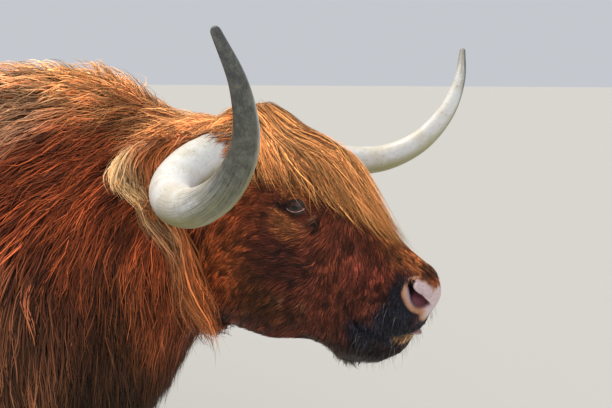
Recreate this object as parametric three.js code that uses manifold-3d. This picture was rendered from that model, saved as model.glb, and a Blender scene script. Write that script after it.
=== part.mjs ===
// A highland cow, life size and standing still, with its head low and turned to its right.
// Millimetres. +X runs forward along the trunk, +Y to the left and +Z up. The hooves stand on Z = 0.
// The solids reach out to the tips of the coat, and each named part of the body is a solid of its own.
import * as THREE from "three";
import { mergeVertices } from "three/addons/utils/BufferGeometryUtils.js";
import Module from "manifold-3d";

const wasm = await Module();
wasm.setup();

// ---------- driving sizes ----------
const GAP = 0.4; // clearance that every two touching parts keep
const WITHERS = 1252; // height of the hump, coat included
const CHEST_FLOOR = 438; // lowest hang of the coat under the chest and belly
const RUMP_X = -1200; // rearmost point of the buttocks, from the forelegs
const FOOT_TOP = 55; // height of the hair line above the hooves

const HEAD_YAW = THREE.MathUtils.degToRad(19.3); // turn of the head to its right
const HEAD_PITCH = THREE.MathUtils.degToRad(32.8); // drop of the nose below the level
const POLL = new THREE.Vector3(439, -67, 1119); // middle of the head between the horn bases
const NECK_START = 100; // where the neck leaves the trunk's straight line

const EYE = { n: 181, l: 84, t: -34, radius: 22 }; // eyeball, in the head's own axes
const EAR = { n: -10, l: 104, t: -52, length: 200, back: 0.5, drop: 0.1 };
const NOSTRIL = { n: 446, l: 50, t: -42, size: [24, 13, 13], flare: 0.5 };
const MOUTH = { frontN: 500, frontT: -106, cornerN: 367, cornerT: -143, open: 15 };
const TONGUE = { n: 455, l: -8, t: -123.5, size: [23, 20, 3.8], tilt: 0.27 };
const HOOF = { length: 116, width: 47, cleft: 5 };

const BODY_SIDES = 28;
const LIMB_SIDES = 14;
const HORN_SIDES = 10;
const CLAW_SIDES = 12;

// ---------- solids ----------
const vec = (x, y, z) => new THREE.Vector3(x, y, z);

// The same surface with every shared corner held once.
function welded(geometry) {
  const bare = geometry.clone();
  bare.deleteAttribute("normal");
  bare.deleteAttribute("uv");
  return mergeVertices(bare, 1e-4);
}

function solid(geometry) {
  const merged = welded(geometry);
  const mesh = new wasm.Mesh({
    numProp: 3,
    vertProperties: merged.attributes.position.array,
    triVerts: new Uint32Array(merged.index.array),
  });
  return new wasm.Manifold(mesh);
}

function geometryOf(body) {
  const mesh = body.getMesh();
  const geometry = new THREE.BufferGeometry();
  geometry.setAttribute("position", new THREE.BufferAttribute(mesh.vertProperties, 3));
  geometry.setIndex(new THREE.BufferAttribute(mesh.triVerts, 1));
  geometry.computeVertexNormals();
  return geometry;
}

// The same closed surface moved outwards by the clearance, for cutting a neighbour back from it.
function grown(geometry, by = GAP) {
  const merged = welded(geometry);
  merged.computeVertexNormals();
  const p = merged.attributes.position;
  const n = merged.attributes.normal;
  for (let i = 0; i < p.count; i++) {
    p.setXYZ(i, p.getX(i) + by * n.getX(i), p.getY(i) + by * n.getY(i), p.getZ(i) + by * n.getZ(i));
  }
  return solid(merged);
}

// A closed skin through rings of equal count, each end closed on a point.
function loft(rings, firstPole, lastPole) {
  const sides = rings[0].length;
  const points = [firstPole, ...rings.flat(), lastPole];
  const index = [];
  const at = (ring, side) => 1 + ring * sides + (side % sides);
  for (let s = 0; s < sides; s++) {
    index.push(0, at(0, s + 1), at(0, s));
    index.push(points.length - 1, at(rings.length - 1, s), at(rings.length - 1, s + 1));
    for (let r = 0; r + 1 < rings.length; r++) {
      index.push(at(r, s), at(r, s + 1), at(r + 1, s + 1));
      index.push(at(r, s), at(r + 1, s + 1), at(r + 1, s));
    }
  }
  const geometry = new THREE.BufferGeometry().setFromPoints(points);
  geometry.setIndex(index);
  if (signedVolume(points, index) < 0) geometry.setIndex(index.reverse());
  geometry.computeVertexNormals();
  return geometry;
}

function signedVolume(points, index) {
  let sum = 0;
  for (let i = 0; i < index.length; i += 3) {
    const [a, b, c] = [points[index[i]], points[index[i + 1]], points[index[i + 2]]];
    sum += a.dot(b.clone().cross(c));
  }
  return sum;
}

const middle = (ring) => ring.reduce((sum, p) => sum.add(p), vec(0, 0, 0)).divideScalar(ring.length);

// Rings between stations: like points of every station lie on one smooth curve.
function smoothRings(outlines, ringsPerStation, sides) {
  const strands = outlines[0].map((_, i) => new THREE.CatmullRomCurve3(outlines.map((o) => o[i])));
  const count = Math.round((outlines.length - 1) * ringsPerStation);
  const rings = [];
  for (let r = 0; r <= count; r++) {
    const controls = strands.map((strand) => strand.getPoint(r / count));
    rings.push(new THREE.CatmullRomCurve3(controls, true).getSpacedPoints(sides).slice(0, sides));
  }
  return rings;
}

// Heights, from top to bottom, at which a cross-section of the body states its half widths.
const LEVELS = [0.09, 0.35, 0.65, 0.91];

// The outline of one cross-section: from top point to bottom point, as wide to each side as widths say.
function outline(top, bottom, widths, lateral) {
  const side = (sign) =>
    widths.map((w, i) => top.clone().lerp(bottom, LEVELS[i]).addScaledVector(lateral, sign * w));
  return [top, ...side(1), bottom, ...side(-1).reverse()];
}

// Everything ahead of a plane, from a given distance on, as a box larger than the animal.
function halfSpace(point, normal, from) {
  const size = 6000;
  const box = new THREE.BoxGeometry(size, size, size);
  box.applyQuaternion(new THREE.Quaternion().setFromUnitVectors(vec(0, 0, 1), normal));
  const centre = point.clone().addScaledVector(normal, from + size / 2);
  return solid(box.translate(centre.x, centre.y, centre.z));
}

// A solid parted in two by a thin cut along a plane: [what lies behind it, what lies ahead].
const partAlong = (body, point, normal) => [
  body.subtract(halfSpace(point, normal, -GAP / 2)),
  body.intersect(halfSpace(point, normal, GAP / 2)),
];

// The body cut back from its neighbours, without the crumbs that such cuts can leave.
function cleared(body, neighbours) {
  const cut = neighbours.reduce((rest, neighbour) => rest.subtract(grown(neighbour)), body);
  return cut.decompose().sort((a, b) => b.volume() - a.volume())[0];
}

// ---------- the head's own axes ----------
// n runs along the face to the nose, l to the animal's left, and t out of the forehead.
const headward = vec(Math.cos(HEAD_YAW), -Math.sin(HEAD_YAW), 0);
const AXIS_L = vec(Math.sin(HEAD_YAW), Math.cos(HEAD_YAW), 0);
const AXIS_N = headward.clone().multiplyScalar(Math.cos(HEAD_PITCH)).add(vec(0, 0, -Math.sin(HEAD_PITCH)));
const AXIS_T = headward.clone().multiplyScalar(Math.sin(HEAD_PITCH)).add(vec(0, 0, Math.cos(HEAD_PITCH)));
const HEAD_FRAME = new THREE.Matrix4().makeBasis(AXIS_N, AXIS_L, AXIS_T).setPosition(POLL);

const inHead = (n, l, t) => vec(n, l, t).applyMatrix4(HEAD_FRAME);

// ---------- trunk, neck and head ----------
// The neck swings to the right along a parabola that ends in the head's own direction.
const JUNCTION_X = 400;
const SHOULDER_CUT = { at: vec(95, 0, WITHERS), normal: vec(0.978, 0, 0.209).normalize() };
const POLL_CUT = { at: inHead(-34, 0, 42), normal: vec(0.9, 0, 0.436).transformDirection(HEAD_FRAME) };
const SWING = Math.tan(HEAD_YAW) / (2 * (JUNCTION_X - NECK_START));
const ahead = (x) => Math.max(0, x - NECK_START);
const neckLine = (x, z) => vec(x, -SWING * ahead(x) ** 2, z);
const neckLateral = (x) => vec(2 * SWING * ahead(x), 1, 0).normalize();

// Each station: [x, z] at the top line, [x, z] at the under line, half widths at the four levels.
const TRUNK_STATIONS = [
  [[RUMP_X, 1130], [RUMP_X + 4, 760], [74, 138, 142, 92]],
  [[-1160, 1196], [-1160, 630], [134, 214, 222, 150]],
  [[-1070, 1226], [-1056, 536], [172, 262, 268, 182]],
  [[-900, 1232], [-890, 476], [196, 298, 296, 196]],
  [[-700, 1226], [-700, CHEST_FLOOR + 12], [204, 316, 336, 222]],
  [[-470, 1221], [-470, CHEST_FLOOR], [198, 322, 354, 236]],
  [[-250, 1229], [-250, CHEST_FLOOR], [178, 304, 344, 230]],
  [[-80, 1244], [-60, CHEST_FLOOR + 6], [150, 270, 314, 214]],
  [[50, WITHERS], [90, CHEST_FLOOR + 16], [126, 230, 272, 184]],
  [[128, 1236], [190, 494], [104, 194, 230, 140]],
  [[196, 1190], [256, 580], [88, 166, 190, 112]],
  [[270, 1157], [302, 656], [82, 150, 166, 98]],
  [[346, 1153], [346, 702], [82, 138, 148, 88]],
];
// The head's stations, in its own axes: [n, t] at the forehead line, [n, t] at the jaw line, half widths.
const HEAD_STATIONS = [
  [[-36, 42], [168, -366], [84, 124, 128, 72]],
  [[24, 42], [222, -344], [92, 120, 120, 62]],
  [[94, 38], [262, -322], [94, 116, 112, 58]],
  [[160, 34], [296, -288], [88, 110, 104, 56]],
  [[226, 22], [326, -262], [70, 92, 94, 54]],
  [[288, 8], [352, -250], [56, 76, 84, 52]],
  [[340, 1], [382, -242], [49, 69, 79, 51]],
  [[386, -2], [412, -236], [46, 70, 80, 50]],
  [[420, -4], [438, -222], [48, 74, 76, 44]],
  [[446, -14], [456, -196], [44, 68, 62, 34]],
  [[461, -34], [467, -168], [32, 50, 42, 20]],
];
const NOSE_END = inHead(473, 0, -92);

const bodyOutlines = [
  ...TRUNK_STATIONS.map(([top, bottom, widths]) =>
    outline(neckLine(...top), neckLine(...bottom), widths, neckLateral((top[0] + bottom[0]) / 2)),
  ),
  ...HEAD_STATIONS.map(([top, bottom, widths]) =>
    outline(inHead(top[0], 0, top[1]), inHead(bottom[0], 0, bottom[1]), widths, AXIS_L),
  ),
];
const bodyRings = smoothRings(bodyOutlines, 1.5, BODY_SIDES);
const bodySkin = loft(bodyRings, middle(bodyRings[0]).add(vec(-14, 0, 0)), NOSE_END);

// ---------- horns ----------
// The path in the head's axes, with l positive outwards: level out, forward, then up to a blunt tip.
const HORN_PATH = [
  [16, 40, -8],
  [13, 102, -29],
  [11, 184, -57],
  [38, 265, -69],
  [89, 332, -53],
  [146, 379, -9],
  [185, 411, 61],
  [192, 441, 142],
  [167, 482, 213],
  [121, 528, 270],
];
const HORN_BASE_DIAMETER = 79;
const HORN_TIP_DIAMETER = 12;
const HORN_TILT = THREE.MathUtils.degToRad(-1.33); // the pair leans a little to one side
const hornDiameter = (u) => HORN_TIP_DIAMETER + (HORN_BASE_DIAMETER - HORN_TIP_DIAMETER) * (1 - u ** 1.95);

function horn(side) {
  const tilt = new THREE.Matrix4().makeRotationX(HORN_TILT);
  const hornFrame = HEAD_FRAME.clone().multiply(tilt);
  const places = HORN_PATH.map(([n, l, t]) => vec(n, side * l, t).applyMatrix4(hornFrame));
  return tube(new THREE.CatmullRomCurve3(places), (u) => hornDiameter(u) / 2, 22, HORN_SIDES, 7);
}

// A tube along a curve, with its own radius at each place and a pointed far end.
function tube(path, radius, steps, sides, tipRise) {
  const frames = path.computeFrenetFrames(steps, false);
  const rings = [];
  for (let i = 0; i <= steps; i++) {
    const centre = path.getPointAt(i / steps);
    const r = radius(i / steps);
    rings.push(
      Array.from({ length: sides }, (_, k) => {
        const angle = (2 * Math.PI * k) / sides;
        return centre
          .clone()
          .addScaledVector(frames.normals[i], r * Math.cos(angle))
          .addScaledVector(frames.binormals[i], r * Math.sin(angle));
      }),
    );
  }
  const end = path.getPointAt(1).addScaledVector(frames.tangents[steps], tipRise);
  return loft(rings, path.getPointAt(0), end);
}

// ---------- limbs ----------
// Each level of a limb: height, centre along X, centre out from the middle line, half length, half width.
const FORELEG = [
  [640, 26, 146, 124, 70],
  [540, 30, 156, 116, 80],
  [460, 36, 162, 102, 76],
  [390, 44, 163, 84, 68],
  [330, 50, 162, 72, 61],
  [275, 46, 160, 62, 56],
  [205, 40, 160, 56, 53],
  [145, 42, 160, 60, 55],
  [100, 50, 160, 64, 57],
  [FOOT_TOP, 62, 160, 66, 58],
];
const HINDLEG = [
  [790, -1000, 140, 150, 74],
  [690, -990, 160, 172, 100],
  [600, -1012, 172, 148, 98],
  [520, -1046, 174, 114, 82],
  [455, -1070, 172, 92, 70],
  [395, -1078, 170, 76, 62],
  [330, -1068, 168, 65, 57],
  [250, -1056, 166, 60, 54],
  [170, -1046, 165, 60, 54],
  [112, -1034, 165, 64, 57],
  [FOOT_TOP, -1016, 165, 67, 58],
];
// How far each foot stands ahead of its plain place, in a relaxed four-square stance.
const STRIDE = { foreleg_right: 46, foreleg_left: -34, hindleg_right: -52, hindleg_left: 44 };

function limbRing([z, x, y, halfLength, halfWidth], side, lean) {
  return Array.from({ length: 8 }, (_, k) => {
    const angle = (Math.PI / 4) * k;
    return vec(x + lean + halfLength * Math.cos(angle), side * y + halfWidth * Math.sin(angle), z);
  });
}

// The foot's shift fades out towards the top of the limb.
function limb(levels, side, stride) {
  const topZ = levels[0][0];
  const fade = (z) => (topZ - z) / (topZ - FOOT_TOP);
  const outlines = levels.map((level) => limbRing(level, side, stride * fade(level[0])));
  const rings = smoothRings(outlines, 1.2, LIMB_SIDES);
  return loft(rings, middle(rings[0]), middle(rings.at(-1)));
}

// One claw of a cloven hoof: a flat sole, a sloping front wall and an upright inner wall.
function claw(footX, footY, side) {
  const { length, width, cleft } = HOOF;
  const levels = [[0, 0, 1], [10, 2, 1.0], [34, -8, 0.93], [FOOT_TOP - GAP, -18, 0.8]];
  const rings = levels.map(([z, slide, scale]) => {
    const points = [];
    for (let k = 0; k < CLAW_SIDES; k++) {
      const angle = (2 * Math.PI * k) / CLAW_SIDES;
      const blunt = Math.cos(angle) > 0 ? 1 : 0.8; // the heel is blunter than the toe
      const x = Math.sign(Math.cos(angle)) * Math.abs(Math.cos(angle)) ** blunt * (length / 2) * scale;
      const outward = (0.5 + 0.5 * Math.sin(angle)) * width * scale;
      points.push(vec(footX + slide + x, footY + side * (cleft / 2 + outward), z));
    }
    return points;
  });
  return loft(rings, middle(rings[0]), middle(rings.at(-1)));
}

// ---------- ears ----------
// A leaf that stands out level and back from behind the horn, with its fringe hanging below it.
// Along the ear: share of its length, rise of the upper edge, drop of the fringe, half thickness.
const EAR_SECTIONS = [
  [0.0, 20, 190, 20],
  [0.2, 30, 230, 24],
  [0.45, 36, 190, 25],
  [0.7, 34, 130, 23],
  [0.9, 24, 88, 19],
  [1.0, 8, 60, 12],
];

function ear(side) {
  const root = inHead(EAR.n, side * EAR.l, EAR.t);
  const out = AXIS_L.clone().multiplyScalar(side);
  const along = out.addScaledVector(headward, -EAR.back).addScaledVector(vec(0, 0, 1), -EAR.drop).normalize();
  const across = vec(0, 0, 1).cross(along).normalize();
  const outlines = EAR_SECTIONS.map(([share, rise, drop, half]) => {
    const centre = root.clone().addScaledVector(along, EAR.length * share);
    const top = centre.clone().add(vec(0, 0, rise));
    const bottom = centre.clone().add(vec(0, 0, -drop));
    return outline(top, bottom, [0.6 * half, half, 0.85 * half, 0.5 * half], across);
  });
  const rings = smoothRings(outlines, 1.6, 12);
  const tip = middle(rings.at(-1)).addScaledVector(along, 12);
  return loft(rings, middle(rings[0]), tip);
}

// ---------- forelock ----------
// The long hair of the poll, falling over the forehead and brows, in stations like the head's own.
const FORELOCK_STATIONS = [
  [[-70, 40], [-46, -46], [44, 90, 96, 56]],
  [[-30, 62], [0, -54], [50, 104, 116, 74]],
  [[40, 78], [56, -40], [54, 108, 130, 84]],
  [[110, 79], [122, -22], [52, 104, 128, 82]],
  [[180, 66], [186, -14], [44, 90, 114, 76]],
  [[240, 50], [244, -16], [34, 70, 90, 62]],
  [[296, 30], [300, -24], [26, 54, 66, 48]],
  [[346, 11], [350, -22], [18, 36, 44, 34]],
];

function forelock() {
  const outlines = FORELOCK_STATIONS.map(([top, bottom, widths]) =>
    outline(inHead(top[0], 0, top[1]), inHead(bottom[0], 0, bottom[1]), widths, AXIS_L),
  );
  const rings = smoothRings(outlines, 1.4, 14);
  return loft(rings, middle(rings[0]), middle(rings.at(-1)).addScaledVector(AXIS_N, 16));
}

// ---------- tail ----------
// Places of the tail's middle line, in x and z.
const TAIL_PATH = [
  [-1110, 1176],
  [-1168, 1192],
  [-1222, 1162],
  [-1248, 1070],
  [-1252, 920],
  [-1246, 770],
  [-1236, 640],
];
const SWITCH_PATH = [[-1237, 662], [-1236, 560], [-1234, 460], [-1230, 360], [-1226, 290]];
const tailPath = (points) => new THREE.CatmullRomCurve3(points.map(([x, z]) => vec(x, 0, z)));
const tailRadius = (u) => 40 - 14 * Math.min(1, 2 * u);
const switchRadius = (u) => 33 + 34 * Math.sin(Math.PI * (0.9 * u) ** 0.8) - 16 * u;

// ---------- udder ----------
function udder() {
  const bag = new THREE.SphereGeometry(1, 14, 8);
  bag.scale(132, 96, 84);
  bag.translate(-872, 0, 500);
  let body = solid(bag);
  for (const x of [-915, -830]) {
    for (const y of [-45, 45]) {
      const teat = new THREE.CylinderGeometry(14, 10, 60, 6);
      teat.rotateX(Math.PI / 2);
      teat.translate(x, y, 408 + 30);
      body = body.add(solid(teat));
    }
  }
  return body;
}

// ---------- mouth, nose and eyes ----------
// A wedge across the whole head, from an outline in its n and t axes.
function acrossHead(outlinePoints, halfWidth) {
  const shape = new THREE.Shape(outlinePoints.map(([n, t]) => new THREE.Vector2(n, t)));
  const wedge = new THREE.ExtrudeGeometry(shape, { depth: 2 * halfWidth, bevelEnabled: false });
  wedge.translate(0, 0, -halfWidth);
  wedge.rotateX(Math.PI / 2);
  return wedge.applyMatrix4(HEAD_FRAME);
}

// The cut between the head and the jaw: thin under the cheeks, opening between the lips.
function mouthCut() {
  const { frontN, frontT, cornerN, cornerT, open } = MOUTH;
  const slope = (frontT - cornerT) / (frontN - cornerN);
  const backN = -300;
  const backT = cornerT + slope * (backN - cornerN);
  const upper = [[backN, backT], [cornerN, cornerT], [frontN, frontT]];
  const lower = [[frontN, frontT - open], [cornerN, cornerT - GAP], [backN, backT - GAP]];
  return acrossHead([...upper, ...lower], 400);
}

// The tip of the tongue, resting between the lips.
function tongueTip() {
  const tip = new THREE.SphereGeometry(1, 10, 6);
  tip.scale(...TONGUE.size);
  tip.rotateY(-TONGUE.tilt);
  tip.translate(TONGUE.n, TONGUE.l, TONGUE.t);
  return tip.applyMatrix4(HEAD_FRAME);
}

function nostril(side) {
  const hollow = new THREE.SphereGeometry(1, 10, 7);
  hollow.scale(...NOSTRIL.size);
  hollow.rotateZ(-side * NOSTRIL.flare);
  hollow.translate(NOSTRIL.n, side * NOSTRIL.l, NOSTRIL.t);
  return hollow.applyMatrix4(HEAD_FRAME);
}

function eyeball(side) {
  const ball = new THREE.SphereGeometry(EYE.radius, 14, 10);
  ball.rotateX(-side * Math.PI / 2);
  ball.translate(EYE.n, side * EYE.l, EYE.t);
  return ball.applyMatrix4(HEAD_FRAME);
}

// ---------- assembly ----------
const MATERIALS = {
  coat: { color: 0x8a4522, roughness: 0.9 },
  topCoat: { color: 0xc98549, roughness: 0.85 },
  darkCoat: { color: 0x3b2018, roughness: 0.95 },
  horn: { color: 0xd9d2c2, roughness: 0.45 },
  hoof: { color: 0x2b2623, roughness: 0.6 },
  eye: { color: 0x1c1210, roughness: 0.08 },
  bareSkin: { color: 0xc79a8c, roughness: 0.55 },
};
const SIDES = { right: -1, left: 1 };

const cow = new THREE.Group();

function put(name, shape, look) {
  const geometry = shape.isBufferGeometry ? shape : geometryOf(shape);
  const mesh = new THREE.Mesh(geometry, new THREE.MeshStandardMaterial({ ...MATERIALS[look], metalness: 0 }));
  mesh.name = name;
  cow.add(mesh);
}

// Trunk, neck, head and jaw are one skin, parted by thin cuts.
const [trunk, foreEnd] = partAlong(solid(bodySkin), SHOULDER_CUT.at, SHOULDER_CUT.normal);
const [neck, wholeHead] = partAlong(foreEnd, POLL_CUT.at, POLL_CUT.normal);
const [jaw, upperHead] = wholeHead
  .subtract(solid(mouthCut()))
  .decompose()
  .sort((a, b) => a.volume() - b.volume());

const eyes = Object.values(SIDES).map(eyeball);
const nostrils = Object.values(SIDES).map(nostril);
const head = nostrils.reduce((rest, hollow) => rest.subtract(solid(hollow)), cleared(upperHead, eyes));
put("trunk", trunk, "coat");
put("neck", neck, "coat");
put("head", head, "coat");
put("jaw", jaw, "darkCoat");
put("tongue", tongueTip(), "bareSkin");

const horns = Object.values(SIDES).map(horn);
const ears = Object.values(SIDES).map(ear);
Object.keys(SIDES).forEach((name, i) => {
  put(`eye_${name}`, eyes[i], "eye");
  put(`horn_${name}`, cleared(solid(horns[i]), [bodySkin]), "horn");
  put(`ear_${name}`, cleared(solid(ears[i]), [bodySkin, horns[i]]), "topCoat");
});
put("forelock", cleared(solid(forelock()), [bodySkin, ...horns, ...ears]), "topCoat");

const legs = [];
for (const [sideName, side] of Object.entries(SIDES)) {
  for (const [limbName, levels] of [["foreleg", FORELEG], ["hindleg", HINDLEG]]) {
    const stride = STRIDE[`${limbName}_${sideName}`];
    const leg = limb(levels, side, stride);
    const [, footX, footY] = levels.at(-1);
    legs.push(leg);
    put(`${limbName}_${sideName}`, cleared(solid(leg), [bodySkin]), "coat");
    put(`hoof_${limbName}_${sideName}_inner`, claw(footX + stride, side * footY, -side), "hoof");
    put(`hoof_${limbName}_${sideName}_outer`, claw(footX + stride, side * footY, side), "hoof");
  }
}

const dock = tube(tailPath(TAIL_PATH), tailRadius, 14, 10, 0);
put("tail", cleared(solid(dock), [bodySkin]), "coat");
const brush = tube(tailPath(SWITCH_PATH), switchRadius, 10, 9, 14);
put("tail_switch", cleared(solid(brush), [dock]), "coat");
put("udder", cleared(udder(), [bodySkin, ...legs]), "bareSkin");

// The origin is the middle of the whole body's footprint, on the ground.
const box = new THREE.Box3().setFromObject(cow);
const centre = box.getCenter(vec(0, 0, 0));
cow.position.set(-centre.x, -centre.y, 0);

export default cow;
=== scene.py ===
"""A highland cow, life size: skin, shaggy coat, horns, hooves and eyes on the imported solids."""
import math

import bmesh
import bpy
import numpy as np
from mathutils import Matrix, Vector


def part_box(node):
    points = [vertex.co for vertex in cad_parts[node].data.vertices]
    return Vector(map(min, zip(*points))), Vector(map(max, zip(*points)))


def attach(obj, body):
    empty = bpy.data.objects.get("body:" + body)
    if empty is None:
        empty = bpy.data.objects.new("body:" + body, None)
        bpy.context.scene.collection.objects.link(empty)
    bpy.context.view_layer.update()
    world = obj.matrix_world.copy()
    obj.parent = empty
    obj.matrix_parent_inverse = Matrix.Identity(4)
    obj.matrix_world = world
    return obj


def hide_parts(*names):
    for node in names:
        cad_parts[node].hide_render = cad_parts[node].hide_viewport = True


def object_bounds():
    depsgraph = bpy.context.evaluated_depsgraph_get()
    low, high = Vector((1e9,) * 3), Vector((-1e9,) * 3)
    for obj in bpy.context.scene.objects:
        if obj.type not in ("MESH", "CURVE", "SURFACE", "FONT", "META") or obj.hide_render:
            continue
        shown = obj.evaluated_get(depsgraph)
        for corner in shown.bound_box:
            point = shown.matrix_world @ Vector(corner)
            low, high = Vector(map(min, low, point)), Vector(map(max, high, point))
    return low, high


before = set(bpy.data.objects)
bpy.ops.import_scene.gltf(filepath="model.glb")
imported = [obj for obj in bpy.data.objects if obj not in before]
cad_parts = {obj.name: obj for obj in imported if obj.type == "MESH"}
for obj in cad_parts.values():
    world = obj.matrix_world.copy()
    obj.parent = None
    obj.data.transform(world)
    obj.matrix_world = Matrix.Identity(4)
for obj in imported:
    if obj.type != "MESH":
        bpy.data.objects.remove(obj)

import openvdb
from mathutils import Matrix, Vector

CAD_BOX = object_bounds()
MM = 0.001
RNG = np.random.default_rng(61)

# ---------- places ----------
# The head's own axes: n runs along the face to the nose, l to the animal's left, t out of the forehead.
HEAD_YAW = math.radians(19.3)
HEAD_PITCH = math.radians(32.8)
EYE_PLACE = (0.181, 0.084, -0.034)
POLL_FROM_FEET = np.array((0.439, -0.067, 1.119))
DOWN = np.array((0.0, 0.0, -1.0))


def unit(v):
    return v / np.maximum(np.linalg.norm(v, axis=-1, keepdims=True), 1e-12)


HEADWARD = np.array((math.cos(HEAD_YAW), -math.sin(HEAD_YAW), 0))
AXIS_L = np.array((math.sin(HEAD_YAW), math.cos(HEAD_YAW), 0))
AXIS_N = HEADWARD * math.cos(HEAD_PITCH) - np.array((0, 0, math.sin(HEAD_PITCH)))
AXIS_T = HEADWARD * math.sin(HEAD_PITCH) + np.array((0, 0, math.cos(HEAD_PITCH)))
HEAD = np.stack([AXIS_N, AXIS_L, AXIS_T])
corners = [np.array(corner) for side in ("right", "left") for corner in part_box(f"eye_{side}")]
between_eyes = np.mean(corners, 0)
POLL = between_eyes - EYE_PLACE[0] * AXIS_N - EYE_PLACE[2] * AXIS_T
FEET = POLL - POLL_FROM_FEET  # on the ground, under the withers


def to_head(p):
    """Places in the head's axes, in millimetres."""
    return (p - POLL) @ HEAD.T / MM


def from_head(h):
    """Places given in the head's axes, in millimetres, back in the frame."""
    return POLL + np.asarray(h, float) * MM @ HEAD


def ramp(value, start, end):
    """0 before start, 1 after end, smooth between; start may be the larger."""
    u = np.clip((value - start) / (end - start), 0, 1)
    return u * u * (3 - 2 * u)


# ---------- meshes as arrays ----------
def numbers_of(items, what, kind=float, each=3):
    """A row of numbers for each point, edge or triangle of a mesh."""
    values = np.empty(len(items) * each, kind)
    items.foreach_get(what, values)
    return values.reshape(-1, each)


def triangles_of(mesh):
    mesh.calc_loop_triangles()
    return numbers_of(mesh.loop_triangles, "vertices", np.int32)


def node_arrays(name):
    """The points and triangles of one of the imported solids."""
    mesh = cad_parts[name].data
    return numbers_of(mesh.vertices, "co", np.float32), triangles_of(mesh).astype(np.uint32)


def linked(name, data, material=None):
    """An object in the scene that shows a mesh, lamp or camera."""
    thing = bpy.data.objects.new(name, data)
    bpy.context.scene.collection.objects.link(thing)
    if material:
        data.materials.append(material)
    return thing


def smooth_faces(mesh):
    mesh.polygons.foreach_set("use_smooth", np.ones(len(mesh.polygons), bool))


def mesh_object(name, points, faces, material=None):
    """An object from points and an array, or a list, of faces."""
    mesh = bpy.data.meshes.new(name)
    mesh.from_pydata(np.asarray(points).tolist(), [], [list(map(int, f)) for f in faces])
    smooth_faces(mesh)
    mesh.update()
    return linked(name, mesh, material)


def add_attribute(mesh, name, values):
    """One number, or three, for each point of a mesh."""
    values = np.asarray(values, np.float32).ravel()
    kind, what = ("FLOAT", "value") if len(values) == len(mesh.vertices) else ("FLOAT_VECTOR", "vector")
    mesh.attributes.new(name, kind, "POINT").data.foreach_set(what, values)


def applied(draft):
    """The plain mesh that an object's modifiers give; the object itself is removed."""
    mesh = bpy.data.meshes.new_from_object(draft.evaluated_get(bpy.context.evaluated_depsgraph_get()))
    bpy.data.objects.remove(draft)
    return mesh


# ---------- distance fields ----------
class Field:
    """Signed distances to a closed surface on a regular grid, read smoothly anywhere."""

    def __init__(self, values, low, pitch):
        self.values, self.low, self.pitch = values, np.asarray(low), pitch

    @classmethod
    def blank(cls, box, pitch, margin=0):
        """A grid over a box and some cells more, to be filled."""
        low = np.floor(np.array(box[0]) / pitch).astype(int) - margin
        high = np.ceil(np.array(box[1]) / pitch).astype(int) + margin
        return cls(np.zeros(high - low + 1, np.float32), low, pitch)

    def with_values(self, values):
        return Field(values, self.low, self.pitch)

    def of(self, points, triangles=None, quads=None, band=10):
        """Distances to a mesh, true up to so many cells away."""
        grid = openvdb.FloatGrid.createLevelSetFromPolygons(
            np.ascontiguousarray(points, np.float32),
            triangles=triangles,
            quads=quads,
            transform=openvdb.createLinearTransform(self.pitch),
            halfWidth=float(band),
        )
        values = np.empty_like(self.values)
        grid.copyToArray(values, ijk=tuple(int(i) for i in self.low))
        return self.with_values(values)

    def places(self):
        axes = [(self.low[i] + np.arange(self.values.shape[i])) * self.pitch for i in range(3)]
        return np.stack(np.meshgrid(*axes, indexing="ij"), -1)

    def softened(self, times):
        v = self.values
        for _ in range(times):
            for axis in range(3):
                v = 0.5 * v + 0.25 * (np.roll(v, 1, axis) + np.roll(v, -1, axis))
        return self.with_values(v)

    def surface(self, level=0.0):
        """Points and quads where the field has this value."""
        grid = openvdb.FloatGrid(float(self.values.max()))
        grid.copyFromArray(np.ascontiguousarray(self.values), ijk=tuple(int(i) for i in self.low))
        grid.transform = openvdb.createLinearTransform(self.pitch)
        points, quads = grid.convertToQuads(level)
        return points.astype(float), quads.astype(np.int64)

    def at(self, p):
        """The distance at each place, mixed from the eight grid points about it."""
        g = p / self.pitch - self.low
        g = np.clip(g, 0, np.array(self.values.shape) - 1.001)
        i = g.astype(int)
        f = g - i
        total = 0
        for dx in (0, 1):
            for dy in (0, 1):
                for dz in (0, 1):
                    w = abs(1 - dx - f[:, 0]) * abs(1 - dy - f[:, 1]) * abs(1 - dz - f[:, 2])
                    total = total + w * self.values[i[:, 0] + dx, i[:, 1] + dy, i[:, 2] + dz]
        return total

    def slope(self, p):
        """The way out of the surface at each place."""
        steps = np.eye(3) * self.pitch * 0.7
        return unit(np.stack([self.at(p + s) - self.at(p - s) for s in steps], -1))


def main_body(points, quads):
    """The largest connected piece of a quad mesh."""
    label = np.arange(len(points))
    edges = np.concatenate([quads[:, [0, 1]], quads[:, [1, 2]], quads[:, [2, 3]]])
    while True:
        low = np.minimum(label[edges[:, 0]], label[edges[:, 1]])
        new = label.copy()
        np.minimum.at(new, edges[:, 0], low)
        np.minimum.at(new, edges[:, 1], low)
        new = new[new]
        if (new == label).all():
            break
        label = new
    names, counts = np.unique(label, return_counts=True)
    keep = label == names[counts.argmax()]
    index = np.cumsum(keep) - 1
    return points[keep], index[quads[keep[quads[:, 0]]]]


# ---------- skin ----------
SKIN_PITCH = 0.0145
SEAM = 0.8 * MM  # swells the solids until they run into one another
FLESH = ["trunk", "neck", "head", "jaw", "udder"]
FLESH += [f"{leg}_{side}" for leg in ("foreleg", "hindleg") for side in ("right", "left")]
LEGS = ((0.045, 0.163), (-1.045, 0.171))  # x and half spread of the fore and hind legs, from FEET
MIDWAY = -0.5  # x between the fore and the hind legs, from FEET
UDDER_X = -0.88


def from_feet(p):
    """x forward, y to the left and z up, each from FEET."""
    return (p - FEET).T


def both_sides(h):
    """Places in the head's axes, with the right side laid over the left."""
    return np.column_stack([h[:, 0], np.abs(h[:, 1]), h[:, 2]])


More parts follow.
